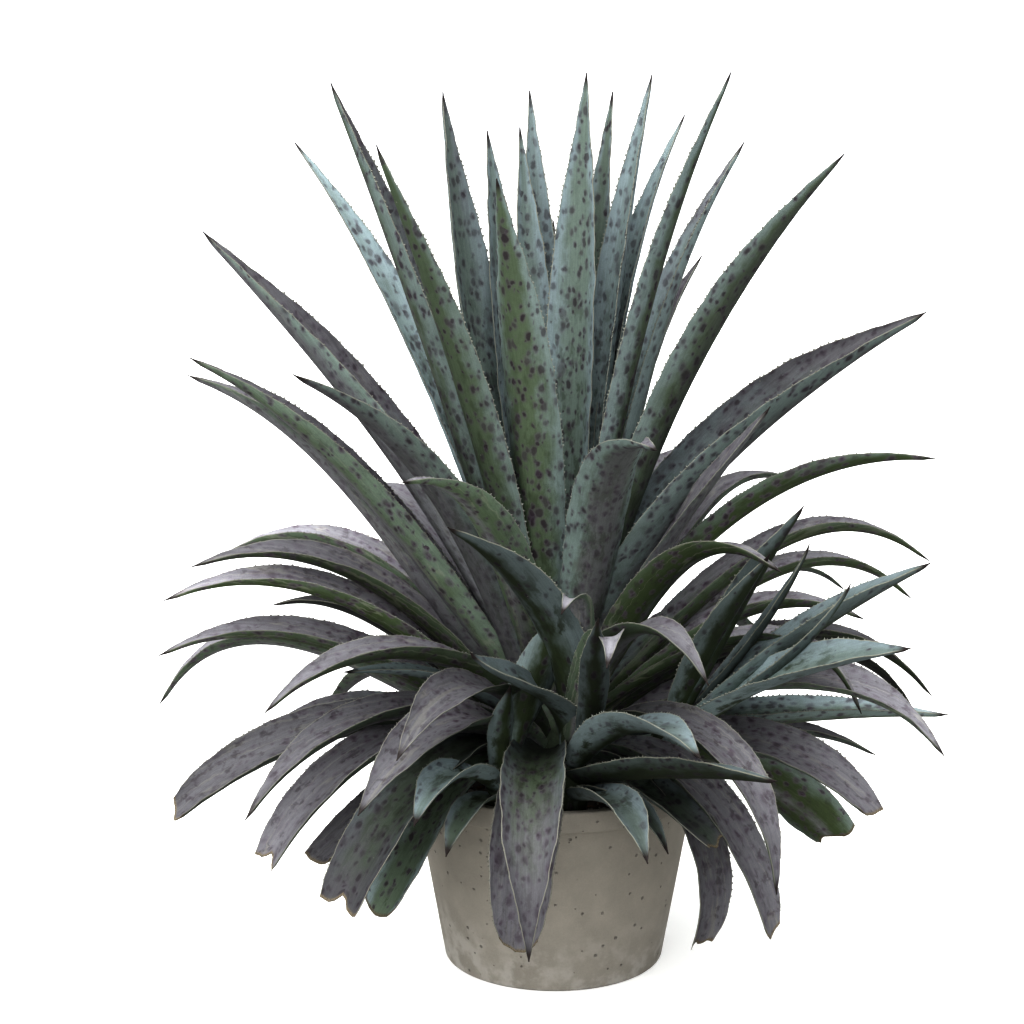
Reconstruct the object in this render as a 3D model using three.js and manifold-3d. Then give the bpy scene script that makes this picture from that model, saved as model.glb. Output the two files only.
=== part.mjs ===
// A potted mangave: a spotted rosette of long channelled leaves, with young offsets round its foot,
// in a plain tapered pot. Millimetres, +Z up; the origin is the middle of the pot's foot, -Y is the front.
import * as THREE from "three";
import { mergeVertices } from "three/addons/utils/BufferGeometryUtils.js";
import Module from "manifold-3d";

const wasm = await Module();
wasm.setup();

// Pot
const POT_HEIGHT = 200;
const POT_FOOT_RADIUS = 112;
const POT_RIM_RADIUS = 152;
const RIM_BAND = 24;
const RIM_PROUD = 5;
const POT_WALL = 9;
const POT_FLOOR = 14;
const POT_EDGE = 4;
const POT_SIDES = 32;
const DRAIN_COUNT = 4;
const DRAIN_RADIUS = 8;
const DRAIN_CIRCLE = 52;

// Soil
const SOIL_TOP = 184;
const SOIL_MOUND = 5;
const ROOT_DEPTH = 34;

// Gaps: pieces that touch stand this far apart
const TOUCH_GAP = 0.3;
const TRIM_GAP = 0.45;
const SMOOTHING = 0.1;

// Main stem: radius at the soil, where the lowest leaves sit, and at the growing point
const STEM_LOW_RADIUS = 42;
const STEM_TOP_RADIUS = 24;
const STEM_LEAF_START = 212;
const STEM_TOP = 330;
const BUD_TOP = 385;
const BUD_RADIUS = 9;
const STEM_SIDES = 12;
const ROOT_SINK = 6;

// Leaf shape, as shares of the leaf's length and width
const WIDEST_AT = 0.5;
const ROOT_WIDTH = 0.42;
const TIP_WIDTH = 0.035;
const TAPER_POWER = 2.1;
const ROOT_CUP = 1.2;
const TIP_CUP = 0.85;
const ROOT_THICKNESS = 0.14;
const TIP_THICKNESS = 0.04;
const THINNING_POWER = 2.2;
const EDGE_THICKNESS = 1.0;
const EDGE_WAVE = 0.6;
const LONG_LEAF_STEPS = 6;
const YOUNG_LEAF_STEPS = 5;
const BEND_PER_STEP = 60;
const ROOT_STRETCH = 0.75;

const colours = {
  pot: new THREE.MeshStandardMaterial({ color: 0xa39c91, roughness: 0.9, metalness: 0 }),
  soil: new THREE.MeshStandardMaterial({ color: 0x2b231c, roughness: 1, metalness: 0 }),
  upright: new THREE.MeshStandardMaterial({ color: 0x5c6b60, roughness: 0.6, metalness: 0 }),
  spreading: new THREE.MeshStandardMaterial({ color: 0x656969, roughness: 0.62, metalness: 0 }),
  hanging: new THREE.MeshStandardMaterial({ color: 0x6b686d, roughness: 0.65, metalness: 0 }),
  offset: new THREE.MeshStandardMaterial({ color: 0x4c5f60, roughness: 0.6, metalness: 0 }),
};

// Leaves. Each row: tip [x, y, z], height of its root on the stem, width, then two angles in degrees:
// how far above the straight line to its tip the leaf sets off, and how far below that line it arrives.
// swing and sway turn the same two ends sideways, to the leaf's left; roll twists the blade about its
// length; cup is half the angle that the channel turns through; cut is where a broken leaf ends.
const DEFAULTS = { swing: 0, sway: 0, roll: 0, cup: 50, cut: 1 };

function leaf(tip, rootHeight, width, lift, droop, options = {}) {
  return { ...DEFAULTS, tip, rootHeight, width, lift, droop, ...options };
}

// The heart: the youngest leaves, which grow as one with the stem
const HEART = [
  leaf([30, 50, 895], 322, 54, 0, 0),
  leaf([-112, 90, 875], 308, 60, -4, -5),
  leaf([-68, 120, 835], 310, 48, 0, 0),
  leaf([-35, 90, 840], 318, 40, 3, 3),
  leaf([-25, 130, 875], 312, 40, 3, 6),
  leaf([0, 160, 740], 306, 32, 12, 6),
  leaf([58, 100, 875], 314, 38, 0, 3),
  leaf([95, 60, 893], 312, 46, 0, 5, { cup: 60 }),
  leaf([130, 90, 852], 304, 38, 3, 18, { cup: 60 }),
  leaf([152, 120, 708], 298, 36, 3, 20, { cup: 60 }),
  leaf([-10, -20, 560], 330, 28, 0, 0),
];

// The back of the rosette, mostly out of sight from the front
const BACK = [
  leaf([262, 150, 465], 264, 42, 0, 60, { cup: 60 }),
  leaf([-224, 250, 440], 262, 60, 24, 45, { cup: 40 }),
  leaf([55, 240, 640], 288, 46, 20, 20),
  leaf([-95, 265, 590], 282, 46, 22, 24),
  leaf([150, 280, 480], 268, 46, 28, 34),
  leaf([20, 330, 440], 258, 46, 30, 40),
  leaf([320, 200, 335], 246, 36, 5, 55),
  leaf([-160, 320, 350], 246, 46, 32, 52),
  leaf([90, 350, 290], 238, 46, 36, 56),
  leaf([245, 290, 240], 230, 46, 36, 52),
  leaf([-60, 345, 190], 224, 48, 42, 54),
  leaf([-255, 260, 170], 220, 46, 36, 48),
  leaf([340, 70, 188], 224, 42, 2, 25),
  leaf([165, 300, 120], 212, 48, 48, 50),
];

// The rest of the rosette, from the inside out
const LEAVES = {
  upright: [
    leaf([-57, -120, 804], 302, 56, 6, 6, { cup: 55 }),
    leaf([165, -30, 898], 300, 36, 5, 10, { cup: 70, roll: -15 }),
    leaf([186, 45, 828], 284, 44, 2, 16, { cup: 75 }),
    leaf([-216, -20, 888], 294, 54, 2, 3, { cup: 80, roll: -15 }),
    leaf([-168, -110, 834], 286, 50, 8, 5, { cup: 60 }),
    leaf([-262, 100, 824], 290, 38, 8, 15, { cup: 60, roll: -25 }),
    leaf([271, -60, 823], 286, 46, 11, 18, { cup: 70, roll: -35 }),
    leaf([86, -248, 573], 286, 60, 24, 54, { cup: 60, swing: 20 }),
    leaf([-342, -20, 746], 282, 62, 10, 8, { cup: 85, roll: -10 }),
    leaf([-142, -230, 540], 274, 50, 24, 45, { cup: 60 }),
    leaf([361, -20, 668], 276, 74, 25, 19, { cup: 85, roll: 14 }),
    leaf([-247, -140, 625], 266, 58, 16, 28, { cup: 75 }),
    leaf([203, -90, 586], 268, 46, 8, 5, { cup: 55, roll: 25 }),
    leaf([-356, -40, 626], 270, 48, 4, 20, { cup: 85 }),
  ],
  spreading: [
    leaf([205, -200, 450], 260, 52, 8, 60, { cup: 60, swing: -4, roll: -10 }),
    leaf([382, 20, 515], 260, 50, 28, 41, { cup: 70, roll: -20 }),
    leaf([-368, 35, 597], 254, 56, 0, 27, { cup: 85 }),
    leaf([304, -60, 272], 250, 40, 36, 74, { cup: 60 }),
    leaf([-275, -190, 312], 250, 46, 40, 48, { cup: 65, swing: 10 }),
    leaf([387, 60, 400], 248, 44, 20, 62, { cup: 70 }),
    leaf([-344, 95, 399], 244, 48, 30, 55, { cup: 65 }),
    leaf([-357, -60, 422], 238, 46, 23, 48, { cup: 70, roll: -10 }),
    leaf([-205, -130, 335], 243, 34, 20, 20, { cup: 55 }),
    leaf([-146, -300, 301], 240, 50, 34, 48, { cup: 45, roll: -16 }),
    leaf([380, 120, 345], 238, 42, 26, 60, { cup: 65 }),
    leaf([314, 5, 352], 241, 44, 21, 48, { cup: 70 }),
    leaf([395, 60, 255], 232, 42, 36, 56, { cup: 65 }),
    leaf([388, -60, 228], 234, 56, 26, 54, { cup: 60, roll: 20 }),
    leaf([-382, -80, 393], 232, 48, 22, 46, { cup: 70, roll: -10 }),
    leaf([-297, 120, 338], 236, 40, 5, 38, { cup: 60 }),
    leaf([402, 5, 252], 228, 56, 2, 6, { cup: 60 }),
    leaf([-392, -60, 332], 225, 46, 16, 41, { cup: 70, roll: -10 }),
    leaf([386, 120, 224], 230, 42, 32, 54, { cup: 65 }),
  ],
  hanging: [
    leaf([-292, -220, 217], 232, 48, 39, 47, { cup: 60 }),
    leaf([-405, 20, 258], 218, 56, 18, 66, { cup: 65 }),
    leaf([-182, -290, 246], 226, 56, 40, 40, { cup: 50, roll: -12 }),
    leaf([-28, -330, 122], 226, 58, 42, 70, { cup: 55, swing: -8 }),
    leaf([-370, -150, 194], 223, 58, 33, 34, { cup: 60, roll: -15, cut: 0.87 }),
    leaf([312, -115, 180], 222, 58, 20, 42, { cup: 50, swing: 12, roll: 18, cut: 0.86 }),
    leaf([-274, -210, 166], 229, 56, 45, 44, { cup: 50, cut: 0.82 }),
    leaf([202, -250, 155], 222, 50, 62, 75, { cup: 55, swing: -10 }),
    leaf([-298, 60, 212], 214, 46, 18, 38, { cup: 55, cut: 0.85 }),
    leaf([-203, -250, 136], 216, 66, 56, 38, { cup: 40, cut: 0.78 }),
    leaf([203, -215, 98], 219, 50, 54, 50, { cup: 50, cut: 0.9 }),
    leaf([-236, -120, 133], 212, 52, 44, 18, { cup: 50, cut: 0.75 }),
    leaf([288, -20, 124], 212, 68, 36, 30, { cup: 35, roll: -65, cut: 0.75 }),
    leaf([-36, -250, 98], 210, 64, 56, 60, { cup: 45, cut: 0.84 }),
    leaf([-171, -180, 106], 196, 54, 70, 24, { cup: 45, cut: 0.75 }),
    leaf([136, -160, 68], 212, 46, 72, 60, { cup: 50, swing: 16, sway: 45, cut: 0.85 }),
    leaf([150, -210, 186], 200, 44, 24, 18, { cup: 50, cut: 0.85 }),
  ],
};

// Offsets: where each young plant's stem leaves the soil, where it ends, and its leaves
const OFFSET_FOOT_RADIUS = 12;
const OFFSET_BULB_RADIUS = 19;
const OFFSET_TOP_RADIUS = 10;
const OFFSET_BULB_BELOW = 38;
const OFFSET_ROOT_OUT = 7;
const OFFSET_SIDES = 8;
const OFFSETS = [
  {
    foot: [12, -98],
    top: [16, -112, 244],
    leaves: [
      leaf([-101, -230, 499], 244, 58, 36, 30, { swing: 8, roll: 8 }),
      leaf([2, -230, 418], 244, 32, 26, 74, { cup: 60, sway: 30 }),
      leaf([-81, -230, 382], 225, 50, 58, 2, { roll: -28 }),
      leaf([35, -250, 419], 244, 28, 8, 2, { swing: 20 }),
      leaf([42, -270, 378], 244, 36, 34, 70, { cup: 60, sway: 60 }),
      leaf([134, -270, 362], 244, 42, 55, 80, { cup: 60 }),
      leaf([125, -310, 306], 240, 52, 24, 34, { cup: 60, roll: -12 }),
      leaf([121, -230, 296], 240, 32, 26, 40),
      leaf([191, -330, 292], 226, 58, 2, 4, { roll: -20 }),
      leaf([80, -290, 200], 206, 38, 16, 50, { cup: 60 }),
      leaf([104, -210, 180], 212, 24, 35, 45),
    ],
  },
  {
    foot: [102, -58],
    top: [108, -66, 256],
    leaves: [
      leaf([228, -165, 505], 258, 42, 0, 5, { cup: 65 }),
      leaf([195, -190, 465], 252, 36, 10, 5),
      leaf([358, -110, 438], 248, 58, 5, 8, { cup: 60 }),
      leaf([276, -150, 427], 250, 32, -12, -20),
      leaf([245, -80, 450], 256, 30, -8, -15),
      leaf([323, -220, 383], 240, 56, 18, 14, { cup: 55, roll: 25 }),
    ],
  },
  {
    foot: [-52, -100],
    top: [-56, -110, 220],
    leaves: [
      leaf([-133, -260, 225], 216, 40, 30, 52, { cup: 60 }),
      leaf([-105, -220, 181], 204, 28, 30, 44),
      leaf([3, -135, 398], 218, 42, 4, 4, { roll: -70 }),
      leaf([-45, -170, 333], 216, 26, 14, 10, { cup: 60, roll: 30 }),
    ],
  },
  {
    foot: [30, 104],
    top: [34, 116, 246],
    leaves: [
      leaf([-40, 260, 380], 244, 36, 20, 25),
      leaf([60, 300, 330], 240, 36, 30, 40),
      leaf([140, 230, 390], 246, 34, 15, 20),
      leaf([190, 210, 270], 234, 34, 30, 45),
    ],
  },
  {
    foot: [-96, 44],
    top: [-106, 50, 246],
    leaves: [
      leaf([-215, 150, 340], 240, 34, 20, 25),
      leaf([-150, 200, 350], 244, 34, 15, 20),
      leaf([-110, 230, 270], 234, 32, 30, 45),
    ],
  },
];

// A closed mesh as a solid for joining and cutting, and back
function solidOf(geometry) {
  const bare = geometry.clone();
  bare.deleteAttribute("normal");
  bare.deleteAttribute("uv");
  const merged = mergeVertices(bare);
  const mesh = new wasm.Mesh({
    numProp: 3,
    vertProperties: Float32Array.from(merged.attributes.position.array),
    triVerts: Uint32Array.from(merged.index.array),
  });
  return new wasm.Manifold(mesh);
}

function geometryOf(solid) {
  const { vertProperties, triVerts } = solid.getMesh();
  const geometry = new THREE.BufferGeometry();
  geometry.setAttribute("position", new THREE.BufferAttribute(vertProperties, 3));
  geometry.setIndex(new THREE.BufferAttribute(triVerts, 1));
  geometry.computeVertexNormals();
  return geometry;
}

function join(solids) {
  return solids.reduce((all, one) => all.add(one));
}

// What is left in one piece after a cut: loose scraps are dropped
function largestPiece(solid) {
  const pieces = solid.simplify(SMOOTHING).decompose();
  return pieces.reduce((best, one) => (one.volume() > best.volume() ? one : best));
}

// Width, channel and thickness of a blade at a share of its length
function widthShare(share) {
  if (share < WIDEST_AT) {
    return ROOT_WIDTH + (1 - ROOT_WIDTH) * Math.sin((Math.PI / 2) * (share / WIDEST_AT));
  }
  const past = (share - WIDEST_AT) / (1 - WIDEST_AT);
  return Math.max(1 - past ** TAPER_POWER, TIP_WIDTH);
}

function cupAngle(cup, share) {
  return THREE.MathUtils.degToRad(cup * THREE.MathUtils.lerp(ROOT_CUP, TIP_CUP, share));
}

function ribThickness(width, share) {
  const thinning = (1 - share) ** THINNING_POWER;
  return width * THREE.MathUtils.lerp(TIP_THICKNESS, ROOT_THICKNESS, thinning);
}

// A blade's centreline: one cubic curve from its root to its tip
function centreline(root, blade) {
  const tip = new THREE.Vector3(...blade.tip);
  const along = tip.clone().sub(root);
  const span = along.length();
  along.normalize();
  const left = new THREE.Vector3(-along.y, along.x, 0).normalize();
  const over = along.clone().cross(left);
  const handle = (rise, turn) => {
    const up = THREE.MathUtils.degToRad(rise);
    const across = THREE.MathUtils.degToRad(turn);
    return new THREE.Vector3()
      .addScaledVector(along, Math.cos(up) * Math.cos(across))
      .addScaledVector(over, Math.sin(up))
      .addScaledVector(left, Math.cos(up) * Math.sin(across))
      .multiplyScalar(span / (3 * Math.cos(up / 2) ** 2));
  };
  const first = root.clone().add(handle(blade.lift, blade.swing));
  const second = tip.clone().sub(handle(-blade.droop, -blade.sway));
  return { curve: new THREE.CubicBezierCurve3(root, first, second, tip), left };
}

// A more bent blade is made of more lengths
function stepsFor(blade, fewest) {
  return fewest + Math.round((Math.abs(blade.lift) + Math.abs(blade.droop)) / BEND_PER_STEP);
}

// One blade as a closed mesh: rings of six points, three on its channelled upper face and three on its
// keeled back. grow makes it that much larger all round, for cutting what it passes through.
function bladeGeometry(root, blade, steps, grow = 0) {
  const { curve, left } = centreline(root, blade);
  const points = [];
  for (let step = 0; step <= steps; step += 1) {
    const way = (step / steps) ** ROOT_STRETCH;
    const share = way * blade.cut;
    const tangent = curve.getTangent(way);
    const side = left.clone().addScaledVector(tangent, -left.dot(tangent)).normalize();
    const face = tangent.clone().cross(side);
    const roll = THREE.MathUtils.degToRad(blade.roll) * Math.sin((Math.PI / 2) * way);
    side.applyAxisAngle(tangent, roll);
    face.applyAxisAngle(tangent, roll);
    const cup = cupAngle(blade.cup, share);
    const wave = step > 0 && step < steps ? EDGE_WAVE * (step % 2 ? 1 : -1) : 0;
    const half = (blade.width / 2) * widthShare(share) + wave * widthShare(share) + grow;
    const depth = half * Math.tan(cup / 2);
    const rib = ribThickness(blade.width, share) + EDGE_THICKNESS;
    const centre = curve.getPoint(way);
    if (step === 0) centre.addScaledVector(tangent, -grow);
    if (step === steps) centre.addScaledVector(tangent, grow);
    const edge = EDGE_THICKNESS + grow;
    const section = [
      [half, depth + grow],
      [0, grow],
      [-half, depth + grow],
      [-half - edge * Math.sin(cup), depth - edge * Math.cos(cup)],
      [0, -rib - grow],
      [half + edge * Math.sin(cup), depth - edge * Math.cos(cup)],
    ];
    for (const [across, up] of section) {
      points.push(centre.clone().addScaledVector(side, across).addScaledVector(face, up));
    }
  }
  return closedLoft(points, 6);
}

// A closed mesh from rings of the same number of points
function closedLoft(points, ring) {
  const index = [];
  const rings = points.length / ring;
  for (let row = 0; row < rings - 1; row += 1) {
    for (let column = 0; column < ring; column += 1) {
      const a = row * ring + column;
      const b = row * ring + ((column + 1) % ring);
      index.push(a, b, a + ring, b, b + ring, a + ring);
    }
  }
  const last = (rings - 1) * ring;
  for (const [a, b, c] of [[0, 1, 5], [1, 4, 5], [1, 2, 4], [2, 3, 4]]) {
    index.push(a, c, b, last + a, last + b, last + c);
  }
  const geometry = new THREE.BufferGeometry().setFromPoints(points);
  geometry.setIndex(index);
  return geometry;
}

// Stems
function stemRadius(height) {
  const share = THREE.MathUtils.clamp((height - STEM_LEAF_START) / (STEM_TOP - STEM_LEAF_START), 0, 1);
  return THREE.MathUtils.lerp(STEM_LOW_RADIUS, STEM_TOP_RADIUS, share);
}

function mainStem(grow = 0) {
  const bottom = SOIL_TOP - ROOT_DEPTH - grow;
  const profile = [
    new THREE.Vector2(0, bottom),
    new THREE.Vector2(STEM_LOW_RADIUS + grow, bottom),
    new THREE.Vector2(STEM_LOW_RADIUS + grow, STEM_LEAF_START),
    new THREE.Vector2(STEM_TOP_RADIUS + grow, STEM_TOP),
    new THREE.Vector2(BUD_RADIUS + grow, BUD_TOP),
    new THREE.Vector2(0, BUD_TOP + grow),
  ];
  return solidOf(new THREE.LatheGeometry(profile, STEM_SIDES).rotateX(Math.PI / 2));
}

function rootOnStem(blade) {
  const [x, y] = blade.tip;
  const reach = Math.hypot(x, y);
  const radius = stemRadius(blade.rootHeight) - ROOT_SINK;
  return new THREE.Vector3((x / reach) * radius, (y / reach) * radius, blade.rootHeight);
}

function mainBlade(blade, grow = 0) {
  return solidOf(bladeGeometry(rootOnStem(blade), blade, stepsFor(blade, LONG_LEAF_STEPS), grow));
}

// An offset's stem: it leans a little and swells where its leaves clasp it
function offsetStem(offset, grow = 0) {
  const foot = new THREE.Vector3(...offset.foot, SOIL_TOP - ROOT_DEPTH);
  const top = new THREE.Vector3(...offset.top);
  const length = top.distanceTo(foot);
  const profile = [
    [0, -grow],
    [OFFSET_FOOT_RADIUS + grow, -grow],
    [OFFSET_BULB_RADIUS + grow, length - OFFSET_BULB_BELOW],
    [OFFSET_TOP_RADIUS + grow, length + OFFSET_TOP_RADIUS + grow],
    [0, length + OFFSET_TOP_RADIUS + grow],
  ].map(([radius, height]) => new THREE.Vector2(radius, height));
  const shape = new THREE.LatheGeometry(profile, OFFSET_SIDES).rotateX(Math.PI / 2);
  const upright = new THREE.Vector3(0, 0, 1);
  const lean = top.clone().sub(foot).normalize();
  shape.applyQuaternion(new THREE.Quaternion().setFromUnitVectors(upright, lean));
  shape.translate(foot.x, foot.y, foot.z);
  return solidOf(shape);
}

function rootOnOffset(offset, blade) {
  const foot = new THREE.Vector3(...offset.foot, SOIL_TOP - ROOT_DEPTH);
  const top = new THREE.Vector3(...offset.top);
  const share = Math.min((blade.rootHeight - foot.z) / (top.z - foot.z), 1);
  const root = foot.lerp(top, share);
  const out = new THREE.Vector3(blade.tip[0] - root.x, blade.tip[1] - root.y, 0).normalize();
  return root.addScaledVector(out, OFFSET_ROOT_OUT);
}

function offsetSolid(offset, grow = 0) {
  const blades = offset.leaves.map((blade) =>
    solidOf(bladeGeometry(rootOnOffset(offset, blade), blade, stepsFor(blade, YOUNG_LEAF_STEPS), grow)),
  );
  return join([offsetStem(offset, grow), ...blades]);
}

// Pot: a tapered shell with a plain band at the rim and drain holes off its middle
function potRadius(height) {
  return THREE.MathUtils.lerp(POT_FOOT_RADIUS, POT_RIM_RADIUS - RIM_PROUD, height / POT_HEIGHT);
}

function potSolid() {
  const bandFoot = POT_HEIGHT - RIM_BAND;
  const profile = [
    [0, 0],
    [POT_FOOT_RADIUS - POT_EDGE, 0],
    [potRadius(POT_EDGE), POT_EDGE],
    [potRadius(bandFoot) - 0.5, bandFoot],
    [POT_RIM_RADIUS - 1.5, bandFoot + 2],
    [POT_RIM_RADIUS, POT_HEIGHT - POT_EDGE],
    [POT_RIM_RADIUS - POT_EDGE, POT_HEIGHT],
    [POT_RIM_RADIUS - POT_WALL, POT_HEIGHT],
    [POT_RIM_RADIUS - POT_WALL - 2, POT_HEIGHT - POT_EDGE],
    [potRadius(POT_FLOOR) - POT_WALL, POT_FLOOR + 6],
    [potRadius(POT_FLOOR) - POT_WALL - 6, POT_FLOOR],
    [0, POT_FLOOR],
  ].map(([radius, height]) => new THREE.Vector2(radius, height));
  const shell = solidOf(new THREE.LatheGeometry(profile, POT_SIDES).rotateX(Math.PI / 2));
  const drains = [];
  for (let drain = 0; drain < DRAIN_COUNT; drain += 1) {
    const angle = ((drain + 0.5) / DRAIN_COUNT) * 2 * Math.PI;
    const hole = new THREE.CylinderGeometry(DRAIN_RADIUS, DRAIN_RADIUS, 3 * POT_FLOOR, 16);
    hole.rotateX(Math.PI / 2);
    hole.translate(DRAIN_CIRCLE * Math.cos(angle), DRAIN_CIRCLE * Math.sin(angle), POT_FLOOR / 2);
    drains.push(solidOf(hole));
  }
  return shell.subtract(join(drains));
}

// Soil: fills the pot inside, with a plain hole for each stem
function soilSolid() {
  const wallAt = (height) => {
    const low = [potRadius(POT_FLOOR) - POT_WALL, POT_FLOOR + 6];
    const high = [POT_RIM_RADIUS - POT_WALL - 2, POT_HEIGHT - POT_EDGE];
    const share = (height - low[1]) / (high[1] - low[1]);
    return THREE.MathUtils.lerp(low[0], high[0], share) - 2 * TOUCH_GAP;
  };
  const profile = [
    [0, POT_FLOOR + TOUCH_GAP],
    [potRadius(POT_FLOOR) - POT_WALL - 6 - TOUCH_GAP, POT_FLOOR + TOUCH_GAP],
    [wallAt(POT_FLOOR + 6), POT_FLOOR + 6 + TOUCH_GAP],
    [wallAt(SOIL_TOP - 4), SOIL_TOP - 4],
    [wallAt(SOIL_TOP) - 8, SOIL_TOP - 1],
    [70, SOIL_TOP + SOIL_MOUND / 2],
    [0, SOIL_TOP + SOIL_MOUND],
  ].map(([radius, height]) => new THREE.Vector2(radius, height));
  const fill = solidOf(new THREE.LatheGeometry(profile, POT_SIDES).rotateX(Math.PI / 2));
  const stems = [mainStem(TOUCH_GAP), ...OFFSETS.map((offset) => offsetStem(offset, TOUCH_GAP))];
  return fill.subtract(join(stems));
}

// Build from the inside out: each piece keeps clear of all that grew inside it
const plant = new THREE.Group();

function place(name, solid, material) {
  const mesh = new THREE.Mesh(geometryOf(solid), material);
  mesh.name = name;
  plant.add(mesh);
}

place("pot", potSolid(), colours.pot);
place("soil", soilSolid(), colours.soil);

const crownBlades = [...HEART, ...BACK];
const crownSolid = (grow) => join([mainStem(grow), ...crownBlades.map((blade) => mainBlade(blade, grow))]);
place("crown", largestPiece(crownSolid(0)), colours.upright);
let taken = crownSolid(TRIM_GAP);

let number = 1;
for (const [tier, blades] of Object.entries(LEAVES)) {
  for (const blade of blades) {
    const name = `leaf_${String(number).padStart(2, "0")}`;
    place(name, largestPiece(mainBlade(blade).subtract(taken)), colours[tier]);
    taken = taken.add(mainBlade(blade, TRIM_GAP));
    number += 1;
  }
}

OFFSETS.forEach((offset, order) => {
  place(`offset_${order + 1}`, largestPiece(offsetSolid(offset).subtract(taken)), colours.offset);
  taken = taken.add(offsetSolid(offset, TRIM_GAP));
});

export default plant;
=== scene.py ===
"""A potted mangave: a spotted rosette of long channelled leaves, with young offsets round its foot, in a
plain cement pot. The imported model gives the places; this file gives the fine shapes and the looks.
Leaves and stems are in millimetres, everything else in metres; +Z is up and -Y is the front."""

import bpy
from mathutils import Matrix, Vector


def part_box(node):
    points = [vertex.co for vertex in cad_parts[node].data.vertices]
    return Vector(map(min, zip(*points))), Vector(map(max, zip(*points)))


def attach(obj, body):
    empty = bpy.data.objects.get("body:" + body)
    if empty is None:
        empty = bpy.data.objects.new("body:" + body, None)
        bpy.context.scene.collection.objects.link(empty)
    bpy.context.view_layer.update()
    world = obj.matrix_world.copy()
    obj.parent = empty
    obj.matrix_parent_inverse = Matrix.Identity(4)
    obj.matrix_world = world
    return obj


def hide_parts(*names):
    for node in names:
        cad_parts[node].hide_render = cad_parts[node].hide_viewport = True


bl_info = {
    "name": "Potted Mangave",
    "version": (1, 0, 0),
    "blender": (4, 5, 0),
    "location": "View3D > Sidebar > Mangave",
    "description": "Builds the fine pot, soil, leaves and offsets of a potted mangave",
    "category": "Add Mesh",
}

import math
from types import SimpleNamespace
from typing import NamedTuple

import bmesh
import bpy
import numpy as np
from mathutils import Matrix, Vector, noise

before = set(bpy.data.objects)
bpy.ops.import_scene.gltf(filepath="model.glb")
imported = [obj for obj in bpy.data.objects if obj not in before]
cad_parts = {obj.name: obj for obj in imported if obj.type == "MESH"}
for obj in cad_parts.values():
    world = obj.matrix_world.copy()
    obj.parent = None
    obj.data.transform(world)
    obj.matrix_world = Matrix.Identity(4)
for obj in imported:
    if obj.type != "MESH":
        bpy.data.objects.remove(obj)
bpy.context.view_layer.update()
POT_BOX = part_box("pot")
BODY = "root"
MM = 0.001

# Blade shape, the same rule as the solids: shares of a leaf's length and width, lengths in millimetres
WIDEST_AT = 0.5
ROOT_WIDTH = 0.42
TAPER_POWER = 2.1
ROOT_CUP = 1.2
TIP_CUP = 0.85
ROOT_THICKNESS = 0.14
TIP_THICKNESS = 0.04
THINNING_POWER = 2.2
EDGE_THICKNESS = 1.0

# Stems, in millimetres
SOIL_TOP = 184
STEM_FOOT = 150
STEM_LOW_RADIUS = 42
STEM_TOP_RADIUS = 24
STEM_LEAF_START = 212
STEM_TOP = 330
BUD_TOP = 385
BUD_RADIUS = 9
ROOT_SINK = 6
OFFSET_FOOT_RADIUS = 12
OFFSET_BULB_RADIUS = 19
OFFSET_TOP_RADIUS = 10
OFFSET_BULB_BELOW = 38
OFFSET_ROOT_OUT = 7
STEM_SIDES = 40

# Points of a ring round a blade: across its upper face, one rim, its underside and the other rim, each
# with its place from the left margin, 1, to the right one, -1; and the extra stations near a blade's end
ACROSS = 15
RING = 2 * ACROSS + 2
SPREAD = np.sin(np.linspace(np.pi / 2, -np.pi / 2, ACROSS))
RING_SPREAD = np.concatenate((SPREAD, (-1.0,), SPREAD[::-1], (1.0,)))
END_STATIONS = (0.8, 2.0, 4.0, 7.0)

# Fine form of a blade: lengths and wave lengths in millimetres, the twist in degrees, the rest as shares
TWIST = 2.5
TWIST_TURNS = 1.3
TIP_PINCH = 0.22
PINCH_SHARES = (0.72, 0.97)
SPINE_RADIUS = 0.35
SPINE_SWELL = 0.8
FULL_SPINE_WIDTH = 45
TIP_OPENING = 0.5
TIP_OPENS = 14
CALM_ROOT = 60
CALM_END = 40
MARGIN_WAVE = 0.55
MARGIN_PERIODS = (17, 41)
RUFFLE_PERIODS = (37, 59, 97)
FULL_WIDTH = 50
RIB_IN_HALF = 0.9
RIB_ROUNDING = 0.02
PLEAT = 0.25
PLEATS = 9
RIM_OUT = 0.3
RIM_WIDTH = 4
TORN_WIDTH = 60
TORN_REACH = 34
TEETH_START = 0.14
TEETH_BEFORE_SPINE = 22
TEETH_BEFORE_CUT = 8
TOOTH_SINK = 0.35

# Marks: how far up a leaf the painted light and shade of its root reach, as a share of its length; and in
# metres, how far the marks of the underside lie from those of the upper face, and how far all of them are
# warped
ROOT_PAINTED_LIGHT_ENDS = 0.75
UNDERSIDE_SHIFT = 0.41
WARP = 0.006

# Seeds of the random draws; a leaf's own number is added
CROWN_SEED = 10
LEAF_SEED = 100
OFFSET_SEED = 1000
GRIT_SEED = 7

# Pot and soil
NEAR = 0.001
BAND_STEP = 0.002
LIP_DEPTH = 0.004
LIP_STEP = 0.002
FLOOR_FILLET = 0.006
DRAIN_HOLES = 4
DRAIN_RADIUS = 0.008
DRAIN_CIRCLE = 0.052
BAND_FLARE = 1.014
SOIL_DOWN = 0.002
SOIL_OFF_FLOOR = 0.0004
SOIL_OFF_WALL = 0.0045
SOIL_RINGS = 38
SOIL_RING = 0.0035
SOIL_MOUND = 0.006
SOIL_LUMP = 0.0022
SOIL_CRUMB = 0.0011
OFFSET_HOLE = 0.0158
GRAINS = 900
GRAIN_SIZES = (0.0012, 0.0034)
STONE_SHARE = 0.4


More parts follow.
